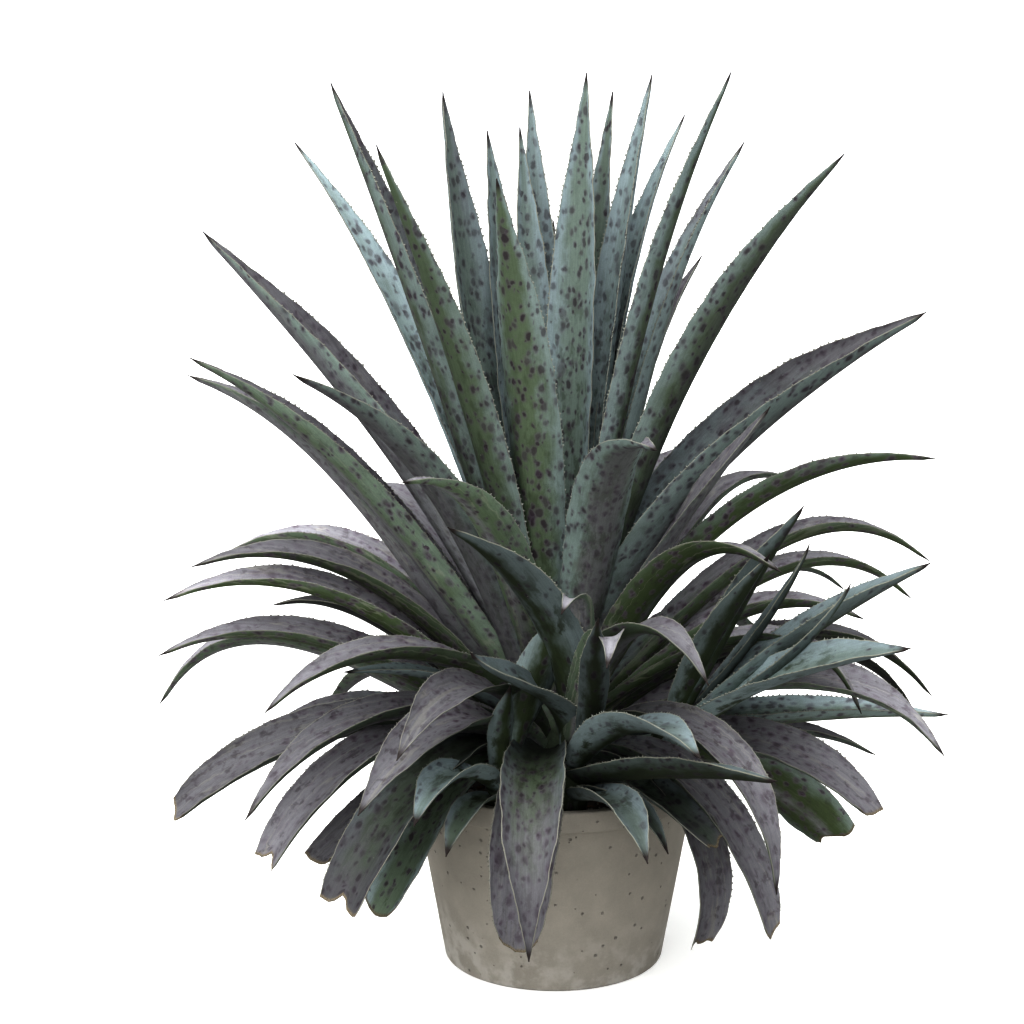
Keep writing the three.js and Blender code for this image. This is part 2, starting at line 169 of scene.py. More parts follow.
class Leaf(NamedTuple):
    """Tip and root height, width, and the two angles and turns of its curve, as in the solids; then its
    looks: how aged and how bloomed it is; how bright it is, partly its own tone and partly painted light
    and shade; how bright its root is against its tip, which is painted light and shade deep in the
    rosette; and how it ends."""

    tip: tuple
    root_height: float
    width: float
    lift: float
    droop: float
    swing: float = 0.0
    sway: float = 0.0
    roll: float = 0.0
    cup: float = 50.0
    cut: float = 1.0
    aged: float = 0.2
    bloom: float = 0.5
    bright: float = 1.0
    root: float = 1.3
    end: str = "spine"

    @property
    def pointed(self):
        return self.end == "spine"


class Offset(NamedTuple):
    """A young plant: where its stem leaves the soil and where it ends, and its leaves."""

    foot: tuple
    top: tuple
    leaves: tuple


# In the rows, each leaf's brightness is partly its own tone and partly painted light and shade, and the
# brightness of its root is painted light and shade deep in the rosette
HEART = (
    Leaf((30, 50, 895), 322, 54, 0, 0, aged=0.05, bloom=0.45, bright=0.85, root=1.4),
    Leaf((-112, 90, 875), 308, 60, -4, -5, aged=0.25, bloom=0.6, bright=0.75, root=1.4),
    Leaf((-68, 120, 835), 310, 48, 0, 0, aged=0.1, bloom=0.75, bright=0.75, root=1.6),
    Leaf((-35, 90, 840), 318, 40, 3, 3, aged=0.0, bloom=0.7, bright=0.75, root=1.6),
    Leaf((-25, 130, 875), 312, 40, 3, 6, aged=0.05, bloom=0.95, bright=0.75, root=1.6),
    Leaf((0, 160, 740), 306, 32, 12, 6, aged=0.1, bloom=0.6, bright=0.75, root=1.6),
    Leaf((58, 100, 875), 314, 38, 0, 3, aged=0.0, bloom=0.35, bright=0.7, root=1.6),
    Leaf((95, 60, 893), 312, 46, 0, 5, cup=60, aged=0.05, bloom=0.95, bright=0.8, root=1.5),
    Leaf((130, 90, 852), 304, 38, 3, 18, cup=60, aged=0.05, bloom=1.0, bright=0.85, root=1.5),
    Leaf((152, 120, 708), 298, 36, 3, 20, cup=60, aged=0.5, bloom=0.8, bright=0.8, root=1.6),
    Leaf((-10, -20, 560), 330, 28, 0, 0, aged=0.0, bright=0.8, root=1.4),
)

BACK = (
    Leaf((262, 150, 465), 264, 42, 0, 60, cup=60, aged=0.9),
    Leaf((-224, 250, 440), 262, 60, 24, 45, cup=40, aged=0.95, bright=1.2),
    Leaf((55, 240, 640), 288, 46, 20, 20, aged=0.4),
    Leaf((-95, 265, 590), 282, 46, 22, 24, aged=0.5),
    Leaf((150, 280, 480), 268, 46, 28, 34, aged=0.6),
    Leaf((20, 330, 440), 258, 46, 30, 40, aged=0.7),
    Leaf((320, 200, 335), 246, 36, 5, 55, aged=0.8),
    Leaf((-160, 320, 350), 246, 46, 32, 52, aged=0.8),
    Leaf((90, 350, 290), 238, 46, 36, 56, aged=0.9),
    Leaf((245, 290, 240), 230, 46, 36, 52, aged=0.9),
    Leaf((-60, 345, 190), 224, 48, 42, 54, aged=0.95),
    Leaf((-255, 260, 170), 220, 46, 36, 48, aged=0.95),
    Leaf((340, 70, 188), 224, 42, 2, 25, aged=0.7, bright=0.7),
    Leaf((165, 300, 120), 212, 48, 48, 50, aged=1.0),
)

UPRIGHT = (
    Leaf((-57, -120, 804), 302, 56, 6, 6, cup=55, aged=0.15, bloom=0.3, bright=1.05, root=1.1),
    Leaf((165, -30, 898), 300, 36, 5, 10, roll=-15, cup=70, aged=0.15, bright=0.7, root=1.15),
    Leaf((186, 45, 828), 284, 44, 2, 16, cup=75, aged=0.3, bloom=0.6, root=1.15),
    Leaf((-216, -20, 888), 294, 54, 2, 3, roll=-15, cup=80, aged=0.4, bloom=0.35, bright=0.9, root=1.1),
    Leaf((-168, -110, 834), 286, 50, 8, 5, cup=60, bloom=0.15, bright=0.9, root=1.2),
    Leaf((-262, 100, 824), 290, 38, 8, 15, roll=-25, cup=60, aged=0.05, bloom=1.0, bright=1.1, root=1.7),
    Leaf((271, -60, 823), 286, 46, 11, 18, roll=-35, cup=70, aged=0.4, bloom=0.3, bright=0.65, root=1.15),
    Leaf((86, -248, 573), 286, 60, 24, 54, swing=20, cup=60, aged=0.5, bloom=0.45, bright=1.1, root=1.2),
    Leaf(
        (-342, -20, 746), 282, 62, 10, 8, roll=-10, cup=85,
        aged=0.65, bloom=0.75, bright=1.05, root=1.6,
    ),
    Leaf((-142, -230, 540), 274, 50, 24, 45, cup=60, aged=0.8, bloom=0.15, bright=1.85, root=0.3),
    Leaf((361, -20, 668), 276, 74, 25, 19, roll=14, cup=85, aged=0.5, bloom=0.55, bright=0.66, root=1.8),
    Leaf((-247, -140, 625), 266, 58, 16, 28, cup=75, aged=0.6, bloom=0.55, bright=0.7, root=1.0),
    Leaf((203, -90, 586), 268, 46, 8, 5, roll=25, cup=55, aged=0.9, bloom=1.0, bright=0.95, root=2.8),
    Leaf((-356, -40, 626), 270, 48, 4, 20, cup=85, aged=0.75, bloom=0.3, bright=1.2, root=1.2),
)

SPREADING = (
    Leaf(
        (205, -200, 450), 260, 52, 8, 60, swing=-4, roll=-10, cup=60,
        aged=0.9, bloom=0.0, bright=1.1, root=1.6,
    ),
    Leaf((382, 20, 515), 260, 50, 28, 41, roll=-20, cup=70, aged=0.6, bloom=0.0, bright=1.4, root=2.6),
    Leaf((-368, 35, 597), 254, 56, 0, 27, cup=85, aged=0.85, bloom=0.7, bright=1.3, root=0.8),
    Leaf((304, -60, 272), 250, 40, 36, 74, cup=60, aged=0.9, bloom=0.1, bright=1.7, root=1.2),
    Leaf(
        (-275, -190, 312), 250, 46, 40, 48, swing=10, cup=65,
        aged=0.9, bloom=0.2, bright=1.15, root=1.2,
    ),
    Leaf((387, 60, 400), 248, 44, 20, 62, cup=70, aged=0.7, bloom=0.0, bright=1.3, root=1.6),
    Leaf((-344, 95, 399), 244, 48, 30, 55, cup=65, aged=0.9, bloom=0.4, bright=2.4, root=0.8),
    Leaf((-357, -60, 422), 238, 46, 23, 48, roll=-10, cup=70, aged=0.9, bloom=0.05, root=1.15),
    Leaf((-205, -130, 335), 243, 34, 20, 20, cup=55, aged=0.0, bloom=0.6, bright=1.1, root=1.1),
    Leaf((-146, -300, 301), 240, 50, 34, 48, roll=-16, cup=45, aged=1.0, bloom=0.3, bright=0.75),
    Leaf((380, 120, 345), 238, 42, 26, 60, cup=65, aged=0.8, bloom=0.0, bright=1.75, root=1.2),
    Leaf((314, 5, 352), 241, 44, 21, 48, cup=70, aged=0.9, bloom=0.1, bright=1.65, root=2.4),
    Leaf((395, 60, 255), 232, 42, 36, 56, cup=65, aged=0.8, bloom=0.0, bright=0.7, root=1.7),
    Leaf((388, -60, 228), 234, 56, 26, 54, roll=20, cup=60, aged=1.0, bright=1.9, root=0.8),
    Leaf((-382, -80, 393), 232, 48, 22, 46, roll=-10, cup=70, aged=0.9, bloom=0.0, bright=1.9, root=0.85),
    Leaf((-297, 120, 338), 236, 40, 5, 38, cup=60, aged=0.8, bloom=0.2, bright=0.15, root=1.0),
    Leaf((402, 5, 252), 228, 56, 2, 6, cup=60, bloom=0.3, bright=1.5, root=0.2),
    Leaf((-392, -60, 332), 225, 46, 16, 41, roll=-10, cup=70, aged=0.95, bloom=0.1, bright=1.5, root=1.0),
    Leaf((386, 120, 224), 230, 42, 32, 54, cup=65, aged=0.8, bloom=0.1, bright=0.25, root=1.0),
)

HANGING = (
    Leaf((-292, -220, 217), 232, 48, 39, 47, cup=60, aged=1.0, bright=0.85, root=1.0),
    Leaf((-405, 20, 258), 218, 56, 18, 66, cup=65, aged=1.0, bright=1.9, root=0.9),
    Leaf((-182, -290, 246), 226, 56, 40, 40, roll=-12, aged=1.0, bright=0.9, root=3.0),
    Leaf((-28, -330, 122), 226, 58, 42, 70, swing=-8, cup=55, aged=0.5, bloom=0.0, bright=0.72, root=0.2),
    Leaf(
        (-370, -150, 194), 223, 58, 33, 34, roll=-15, cup=60, cut=0.87,
        aged=1.0, bright=0.75, root=1.0, end="point",
    ),
    Leaf(
        (312, -115, 180), 222, 58, 20, 42, swing=12, roll=18, cut=0.86,
        aged=0.75, bright=1.1, root=1.2, end="slant",
    ),
    Leaf((-274, -210, 166), 229, 56, 45, 44, cut=0.82, aged=1.0, bright=1.1, root=1.5, end="notch"),
    Leaf((202, -250, 155), 222, 50, 62, 75, swing=-10, cup=55, aged=0.85, root=0.15),
    Leaf((-298, 60, 212), 214, 46, 18, 38, cup=55, cut=0.85, aged=0.5, bloom=0.2, root=1.4, end="slant"),
    Leaf(
        (-203, -250, 136), 216, 66, 56, 38, cup=40, cut=0.78,
        aged=0.35, bloom=0.1, bright=0.42, root=0.45, end="notch",
    ),
    Leaf((203, -215, 98), 219, 50, 54, 50, cut=0.9, aged=0.85, bright=0.95, root=1.8, end="point"),
    Leaf((-236, -120, 133), 212, 52, 44, 18, cut=0.75, aged=1.0, bright=0.75, root=1.0, end="slant"),
    Leaf(
        (288, -20, 124), 212, 68, 36, 30, roll=-65, cup=35, cut=0.75,
        aged=0.5, bloom=0.1, bright=1.7, root=1.8, end="ragged",
    ),
    Leaf((-36, -250, 98), 210, 64, 56, 60, cup=45, cut=0.84, aged=0.6, bloom=0.1, root=1.1, end="round"),
    Leaf(
        (-171, -180, 106), 196, 54, 70, 24, cup=45, cut=0.75,
        aged=0.1, bloom=0.1, bright=1.2, root=2.2, end="round",
    ),
    Leaf(
        (136, -160, 68), 212, 46, 72, 60, swing=16, sway=45, cut=0.85,
        aged=0.8, bright=0.95, root=1.1, end="ragged",
    ),
    Leaf(
        (150, -210, 186), 200, 44, 24, 18, cut=0.85,
        aged=0.3, bloom=0.2, bright=0.6, root=3.2, end="ragged",
    ),
)

OFFSETS = (
    Offset(
        (12, -98),
        (16, -112, 244),
        (
            Leaf(
                (-101, -230, 499), 244, 58, 36, 30, swing=8, roll=8,
                aged=0.0, bloom=0.6, bright=0.48, root=1.9,
            ),
            Leaf(
                (2, -230, 418), 244, 32, 26, 74, sway=30, cup=60,
                aged=0.9, bloom=0.6, bright=1.7, root=0.6,
            ),
            Leaf((-81, -230, 382), 225, 50, 58, 2, roll=-28, aged=0.1, bloom=0.6, bright=0.55),
            Leaf((35, -250, 419), 244, 28, 8, 2, swing=20, aged=0.0, bright=0.4),
            Leaf(
                (42, -270, 378), 244, 36, 34, 70, sway=60, cup=60,
                aged=0.9, bloom=0.4, bright=1.7, root=0.6,
            ),
            Leaf((134, -270, 362), 244, 42, 55, 80, cup=60, aged=0.9, bloom=0.3, root=0.7),
            Leaf(
                (125, -310, 306), 240, 52, 24, 34, roll=-12, cup=60,
                aged=0.1, bloom=0.7, bright=0.6, root=1.5,
            ),
            Leaf((121, -230, 296), 240, 32, 26, 40, aged=0.1, bright=0.45),
            Leaf((191, -330, 292), 226, 58, 2, 4, roll=-20, aged=0.1, bloom=0.1, bright=0.42, root=1.5),
            Leaf((80, -290, 200), 206, 38, 16, 50, cup=60, aged=0.1, bloom=0.6, bright=0.5, root=1.2),
            Leaf((104, -210, 180), 212, 24, 35, 45, aged=0.1, bloom=0.3, bright=0.35, root=1.2),
        ),
    ),
    Offset(
        (102, -58),
        (108, -66, 256),
        (
            Leaf((228, -165, 505), 258, 42, 0, 5, cup=65, aged=0.0, bright=0.58, root=2.1),
            Leaf((195, -190, 465), 252, 36, 10, 5, aged=0.0, bloom=0.4, bright=0.55, root=2.1),
            Leaf((358, -110, 438), 248, 58, 5, 8, cup=60, aged=0.1, bloom=0.45, bright=0.6, root=2.4),
            Leaf((276, -150, 427), 250, 32, -12, -20, aged=0.0, bright=0.58, root=2.1),
            Leaf((245, -80, 450), 256, 30, -8, -15, aged=0.0, bloom=0.4, bright=0.4, root=1.8),
            Leaf(
                (323, -220, 383), 240, 56, 18, 14, roll=25, cup=55,
                aged=0.0, bloom=0.65, bright=0.65, root=2.3,
            ),
        ),
    ),
    Offset(
        (-52, -100),
        (-56, -110, 220),
        (
            Leaf((-133, -260, 225), 216, 40, 30, 52, cup=60, aged=0.1, bloom=0.75, bright=0.9, root=1.8),
            Leaf((-105, -220, 181), 204, 28, 30, 44, bloom=0.2, bright=0.65, root=1.6),
            Leaf((3, -135, 398), 218, 42, 4, 4, roll=-70, aged=0.1, bright=0.9, root=1.6),
            Leaf((-45, -170, 333), 216, 26, 14, 10, roll=30, cup=60, aged=0.1, bright=0.9, root=1.6),
        ),
    ),
    Offset(
        (30, 104),
        (34, 116, 246),
        (
            Leaf((-40, 260, 380), 244, 36, 20, 25, aged=0.1, bloom=0.7),
            Leaf((60, 300, 330), 240, 36, 30, 40, bloom=0.6),
            Leaf((140, 230, 390), 246, 34, 15, 20, aged=0.1, bloom=0.7),
            Leaf((190, 210, 270), 234, 34, 30, 45, bloom=0.6),
        ),
    ),
    Offset(
        (-96, 44),
        (-106, 50, 246),
        (
            Leaf((-215, 150, 340), 240, 34, 20, 25, aged=0.1, bloom=0.7),
            Leaf((-150, 200, 350), 244, 34, 15, 20, aged=0.1, bloom=0.7),
            Leaf((-110, 230, 270), 234, 32, 30, 45, bloom=0.6),
        ),
    ),
)


# Settings that a user would change


def length(name, description, default):
    return bpy.props.FloatProperty(
        name=name, description=description, default=default, min=0.0, subtype="DISTANCE", unit="LENGTH"
    )


def colour(name, description, red, green, blue):
    """A colour property, from its values from 0 to 255 as a screen shows them."""
    return bpy.props.FloatVectorProperty(
        name=name,
        description=description,
        default=tuple(linear(part / 255) for part in (red, green, blue)),
        size=3,
        min=0.0,
        max=1.0,
        subtype="COLOR",
    )


def linear(part):
    return part / 12.92 if part <= 0.04045 else ((part + 0.055) / 1.055) ** 2.4


class PotSettings(bpy.types.PropertyGroup):
    height: length("Height", "From the foot to the rim", POT_BOX[1][2])
    rim_radius: length("Rim radius", "Outside radius of the band at the rim", POT_BOX[1][0])
    foot_radius: length("Foot radius", "Radius of the foot", 0.112)
    band: length("Band", "Height of the band at the rim", 0.024)
    band_proud: length("Band proud", "How far the band stands out of the side", 0.005)
    wall: length("Wall", "Thickness of the wall at the rim", 0.009)
    floor: length("Floor", "Thickness of the bottom", 0.014)
    edge: length("Edge", "Rounding of the edges", 0.0022)
    cement: colour("Cement", "Pale warm grey of the pot", 176, 170, 160)
    soil: colour("Soil", "Dark potting mix", 44, 35, 28)


class LeafSettings(bpy.types.PropertyGroup):
    spacing: length("Spacing", "Length between the stations of a blade", 0.006)
    tooth: length("Tooth", "Length of a tooth on the margin", 0.0016)
    tooth_spacing: length("Tooth spacing", "Length of margin between two teeth", 0.0056)
    wave: length("Wave", "How far the margins wave up and down", 0.001)
    spine: length("Spine", "Length of the hard dark tip", 0.011)
    green: colour("Green", "Middle of a young leaf", 98, 112, 92)
    bloom: colour("Bloom", "Blue-grey waxy sides of a young leaf", 148, 162, 165)
    aged: colour("Aged", "Mauve-grey upper face of an old leaf", 111, 110, 114)
    outside: colour("Outside", "Outside of a young leaf", 88, 101, 80)
    # The back colour is partly an old leaf's own olive underside and partly painted shade on the underside
    back: colour("Back", "Underside of an old leaf", 60, 71, 45)
    moss: colour("Moss", "Dark green patches on young skin", 52, 60, 40)
    spot: colour("Spot", "Dark maroon spots", 46, 35, 42)
    margin: colour("Margin", "Pale toothed margin", 142, 141, 128)
    spine_colour: colour("Spine colour", "Hard dark tip", 40, 32, 30)
    stain: colour("Stain", "Faint mauve spots of a young leaf", 92, 80, 94)
    dry: colour("Dry", "Dried tissue at a torn end", 128, 117, 94)


class StageSettings(bpy.types.PropertyGroup):
    elevation: bpy.props.FloatProperty(
        name="Elevation",
        description="How far the camera stands above the level of its target",
        default=math.radians(12),
        subtype="ANGLE",
    )
    distance: length("Distance", "From the camera to its target", 2.418)
    target: bpy.props.FloatVectorProperty(
        name="Target",
        description="What the camera looks at",
        default=(-0.043, 0.0, 0.464),
        subtype="XYZ",
        unit="LENGTH",
    )
    lens: bpy.props.FloatProperty(
        name="Lens", description="Focal length in millimetres on a 36 mm sensor", default=85.0
    )
    floor_colour: colour("Floor", "Plain pale floor", 242, 242, 240)
    exposure: bpy.props.FloatProperty(name="Exposure", description="Brightness in stops", default=0.78)
    gamma: bpy.props.FloatProperty(
        name="Gamma", description="Below 1 deepens the shadows", default=0.72, min=0.1
    )


# Node graphs


class Graph:
    """Adds nodes to a tree; an input is given as another node's output or as a value."""

    def __init__(self, tree):
        self.tree = tree

    def node(self, kind, inputs=None, **settings):
        node = self.tree.nodes.new(kind)
        for name, value in settings.items():
            setattr(node, name, value)
        for name, value in (inputs or {}).items():
            self.feed(node.inputs[name], value)
        return node

    def feed(self, socket, value):
        if isinstance(value, bpy.types.NodeSocket):
            self.tree.links.new(value, socket)
        elif isinstance(value, (tuple, list)) and socket.type == "RGBA" and len(value) == 3:
            socket.default_value = (*value, 1.0)
        else:
            socket.default_value = value

    def math(self, operation, *values, clamp=False):
        node = self.node("ShaderNodeMath", operation=operation, use_clamp=clamp)
        for socket, value in zip(node.inputs, values):
            self.feed(socket, value)
        return node.outputs[0]

    def grey(self, value):
        inputs = {"Red": value, "Green": value, "Blue": value}
        return self.node("ShaderNodeCombineColor", inputs).outputs[0]

    def blend(self, share, first, second, how="MIX"):
        node = self.node("ShaderNodeMix", data_type="RGBA", blend_type=how)
        self.feed(node.inputs[0], share)
        self.feed(node.inputs[6], first)
        self.feed(node.inputs[7], second)
        return node.outputs[2]

    def step(self, value, low, high, start=0.0, end=1.0):
        """Rises smoothly from start, where value is low, to end, where it is high."""
        node = self.node("ShaderNodeMapRange", interpolation_type="SMOOTHSTEP")
        for name, given in (
            ("Value", value),
            ("From Min", low),
            ("From Max", high),
            ("To Min", start),
            ("To Max", end),
        ):
            self.feed(node.inputs[name], given)
        return node.outputs["Result"]

    def stretch(self, vector, scale, shift=(0.0, 0.0, 0.0)):
        return self.node(
            "ShaderNodeMapping", {"Vector": vector, "Scale": scale, "Location": shift}
        ).outputs[0]

    def noise(self, vector, scale, detail=3.0, roughness=0.5, distortion=0.0):
        node = self.node(
            "ShaderNodeTexNoise",
            {
                "Vector": vector,
                "Scale": scale,
                "Detail": detail,
                "Roughness": roughness,
                "Distortion": distortion,
            },
        )
        return node.outputs["Fac"]

    def split(self, vector):
        return self.node("ShaderNodeSeparateXYZ", {"Vector": vector}).outputs

    def attribute(self, name):
        return self.node("ShaderNodeAttribute", attribute_name=name).outputs["Vector"]


def new_group(name, inputs):
    """A shader node group for a colour, a roughness and a height; each input is a name, a kind and a
    default."""
    tree = bpy.data.node_groups.new(name, "ShaderNodeTree")
    for socket_name, kind, default in inputs:
        socket = tree.interface.new_socket(socket_name, in_out="INPUT", socket_type=kind)
        socket.default_value = default
    for socket_name, kind in (
        ("Colour", "NodeSocketColor"),
        ("Roughness", "NodeSocketFloat"),
        ("Height", "NodeSocketFloat"),
    ):
        tree.interface.new_socket(socket_name, in_out="OUTPUT", socket_type=kind)
    graph = Graph(tree)
    source = graph.node("NodeGroupInput")
    sink = graph.node("NodeGroupOutput")
    return tree, graph, source.outputs, sink


def spot_layer(graph, vector, width, aspect, amount, largest, softness):
    """Soft round spots, one or none in each cell: the spots, a wider halo, and a random value for each;
    width is that of a cell, in metres, aspect is its width against its length, and the largest radius and
    the softness are shares of it."""
    stretched = graph.stretch(vector, (1 / width, aspect / width, 1.0))
    cells = graph.node(
        "ShaderNodeTexVoronoi",
        {"Vector": stretched, "Scale": 1.0, "Randomness": 0.9},
        voronoi_dimensions="2D",
        feature="F1",
    )
    chance, pick, bulk = graph.split(cells.outputs["Color"])[:3]
    present = graph.step(graph.math("ADD", chance, amount), 1.0, 1.12)
    radius = graph.math("MULTIPLY", present, graph.math("MULTIPLY_ADD", bulk, largest / 2, largest / 2))
    away = cells.outputs["Distance"]
    spot = graph.step(away, radius, graph.math("SUBTRACT", radius, softness))
    halo = graph.step(away, graph.math("MULTIPLY", radius, 1.5), graph.math("MULTIPLY", radius, 0.7))
    return spot, graph.math("MULTIPLY", halo, present), pick


class SpotSort(NamedTuple):
    """One size of spot: how far its cells are shifted, their width and aspect, how many of them hold one,
    its largest radius in a cell, and how dark it is."""

    shift: tuple
    width: float
    aspect: float
    share: float
    largest: float
    strength: float


SPOT_SORTS = (
    SpotSort((0.0, 0.0, 0.0), 0.016, 0.6, 0.25, 0.34, 0.75),
    SpotSort((0.31, 0.77, 0.0), 0.0098, 0.6, 1.0, 0.37, 0.85),
    SpotSort((0.83, 0.29, 0.0), 0.0072, 0.65, 0.7, 0.33, 0.8),
)


def skin_fields(g):
    """What the parts of the skin share: where a point lies on its leaf, its age, and the noises."""
    surface = g.node("ShaderNodeUVMap", uv_map="leaf_uv").outputs[0]
    across, along, upper = g.split(g.attribute("leaf_place"))[:3]
    # The third part of the tone is the leaf's brightness, partly its own tone and partly painted light and
    # shade
    age, bloom, bright = g.split(g.attribute("leaf_tone"))[:3]
    spine, dry, margin_at = g.split(g.attribute("leaf_edge"))[:3]
    warp = g.node("ShaderNodeTexNoise", {"Vector": surface, "Scale": 110.0, "Detail": 4.0})
    push = g.node(
        "ShaderNodeVectorMath", {0: warp.outputs["Color"], 1: (0.5, 0.5, 0.5)}, operation="SUBTRACT"
    )
    push = g.node("ShaderNodeVectorMath", {0: push.outputs[0], "Scale": WARP}, operation="SCALE")
    wavy = g.node("ShaderNodeVectorMath", {0: surface, 1: push.outputs[0]}, operation="ADD").outputs[0]
    mottle = g.noise(g.stretch(wavy, (62.0, 26.0, 1.0)), 1.0, 3.0, 0.6)
    unevenness = g.math("MULTIPLY_ADD", mottle, 1.1, -0.55)
    off_middle = g.math("ABSOLUTE", across)
    return SimpleNamespace(
        along=along,
        upper=upper,
        off_middle=off_middle,
        age=age,
        bloom=bloom,
        bright=bright,
        spine=spine,
        dry=dry,
        margin_at=margin_at,
        wavy=wavy,
        mottle=mottle,
        unevenness=unevenness,
        reach=g.math("ADD", off_middle, unevenness),
        fibre=g.noise(g.stretch(surface, (620.0, 26.0, 1.0)), 1.0, 3.0, 0.6),
        streak=g.noise(g.stretch(wavy, (210.0, 14.0, 1.0)), 1.0, 3.0, 0.55),
        grain=g.noise(surface, 900.0, 2.0, 0.7),
        velvet=g.noise(g.stretch(surface, (300.0, 170.0, 1.0)), 1.0, 3.0, 0.65),
        patch=g.noise(g.stretch(wavy, (120.0, 62.0, 1.0), (3.1, 1.7, 0.0)), 1.0, 4.0, 0.6),
    )


def young_skin(g, at, given):
    """An uneven green band down the middle and waxy blue-grey sides: the band, and the colour."""
    inner = g.math("MULTIPLY_ADD", at.bloom, -0.4, 0.4)
    outer = g.math("MULTIPLY_ADD", at.bloom, -0.4, 1.15)
    band = g.step(at.reach, outer, inner)
    band = g.math("MULTIPLY", band, g.math("MULTIPLY_ADD", at.bloom, -0.75, 1.0))
    green = g.blend(g.math("MULTIPLY", at.streak, 0.5), given["Green"], given["Back"])
    deep = g.math("MULTIPLY", g.step(at.patch, 0.54, 0.64), g.step(at.off_middle, 0.5, 0.1))
    green = g.blend(g.math("MULTIPLY", deep, 0.75), green, given["Back"])
    return band, g.blend(band, given["Bloom"], green)


def old_skin(g, at, given):
    """Mauve, from the tip and the margins inwards: how far the skin has turned, and the colour."""
    turned = g.math("MULTIPLY_ADD", at.along, 0.8, g.math("MULTIPLY", at.age, 1.1))
    turned = g.math("ADD", turned, g.math("MULTIPLY", at.unevenness, 0.5))
    turned = g.math("ADD", turned, g.math("MULTIPLY", at.off_middle, 0.15))
    turned = g.math("MULTIPLY", g.step(turned, 0.85, 1.3), g.step(at.age, 0.0, 0.35))
    darker = g.blend(0.3, given["Aged"], given["Spot"])
    return turned, g.blend(g.step(at.streak, 0.35, 0.75), given["Aged"], darker)


def under_skin(g, at, given):
    """Green and waxy when young; on an old leaf the bloom says how far mauve covers it from the keel:
    the wax, the mauve, and the colour."""
    waxed = g.step(g.math("MULTIPLY_ADD", at.bloom, 0.8, at.reach), 0.5, 1.1)
    waxed = g.math("MULTIPLY", waxed, g.math("MULTIPLY_ADD", at.bloom, 0.6, 0.35))
    waxed = g.math("MULTIPLY", waxed, g.step(at.age, 0.3, 0.9, 1.0, 0.2))
    # The back colour under the wax is partly painted shade on the underside
    under = g.blend(waxed, given["Back"], given["Bloom"])
    keel = g.math("SUBTRACT", g.math("MULTIPLY_ADD", at.unevenness, 0.6, at.off_middle), at.bloom)
    keel = g.math("MULTIPLY", g.step(keel, 0.2, -0.2), g.step(at.age, 0.3, 0.55))
    return waxed, keel, g.blend(g.math("MULTIPLY", keel, 0.85), under, given["Aged"])


def creased(g, at, given, skin):
    """Thin pale lines along old leaves."""
    fold = g.noise(g.stretch(at.wavy, (75.0, 4.5, 1.0)), 1.0, 1.0)
    fold = g.math("ABSOLUTE", g.math("SUBTRACT", fold, 0.5))
    crease = g.math("MULTIPLY", g.step(fold, 0.02, 0.004), g.step(at.age, 0.4, 0.9))
    return g.blend(g.math("MULTIPLY", crease, 0.26), skin, given["Margin"])


def patched(g, at, given, skin):
    """Dark green patches on young skin and blurred dark ones on old skin."""
    moss = g.noise(g.stretch(at.wavy, (88.0, 34.0, 1.0), (1.3, 5.9, 0.0)), 1.0, 5.0, 0.65)
    moss = g.math("MULTIPLY", g.step(moss, 0.47, 0.62), g.step(at.off_middle, 1.1, 0.35))
    moss = g.math("MULTIPLY", moss, g.math("MULTIPLY", given["Mottle"], g.step(at.along, 1.0, 0.35)))
    skin = g.blend(g.math("MULTIPLY", moss, g.step(at.age, 0.9, 0.4)), skin, given["Moss"])
    dark = g.step(at.patch, 0.52, 0.66)
    dark = g.math("MULTIPLY", dark, g.math("MULTIPLY", given["Blotches"], g.step(at.age, 0.1, 0.9)))
    return g.blend(g.math("MULTIPLY", dark, 0.62), skin, given["Spot"])


def spotted(g, at, given, skin, covered):
    """Three sizes of maroon spots, each with a mauve halo, as far as wax and age don't cover them."""
    crowd = g.math("MULTIPLY", given["Spots"], g.step(at.mottle, 0.25, 0.65, 0.45, 1.25))
    soft = g.math("MULTIPLY_ADD", at.age, 0.14, 0.14)
    for sort in SPOT_SORTS:
        place = g.stretch(at.wavy, (1.0, 1.0, 1.0), sort.shift)
        amount = g.math("MULTIPLY", crowd, sort.share)
        spot, halo, pick = spot_layer(g, place, sort.width, sort.aspect, amount, sort.largest, soft)
        solid = g.math("MULTIPLY", covered, sort.strength)
        skin = g.blend(g.math("MULTIPLY", g.math("MULTIPLY", halo, solid), 0.5), skin, given["Stain"])
        solid = g.math("MULTIPLY", solid, g.step(pick, 0.1, 0.9, 0.5, 1.0))
        skin = g.blend(g.math("MULTIPLY", spot, solid), skin, given["Spot"])
    return skin


def shaded(g, at, given, skin):
    """Fibres, fine grain, the leaf's brightness, partly its own tone and partly painted light and shade,
    and pale flecks where the skin was scratched.
    """
    light = g.math("MULTIPLY_ADD", at.fibre, 0.5, 0.75)
    light = g.math("MULTIPLY", light, g.math("MULTIPLY_ADD", at.grain, 0.5, 0.75))
    light = g.math("MULTIPLY", light, g.math("MULTIPLY_ADD", at.velvet, 0.3, 0.85))
    # Painted light and shade: each leaf's brightness and the brighter or darker share at its root
    light = g.math("MULTIPLY", light, at.bright)
    skin = g.blend(1.0, skin, g.grey(light), "MULTIPLY")
    flecks = g.stretch(at.wavy, (1.0, 1.0, 1.0), (0.47, 0.13, 0.0))
    fleck = spot_layer(g, flecks, 0.026, 0.8, 0.12, 0.05, 0.02)[0]
    return g.blend(g.math("MULTIPLY", fleck, 0.6), skin, given["Margin"])


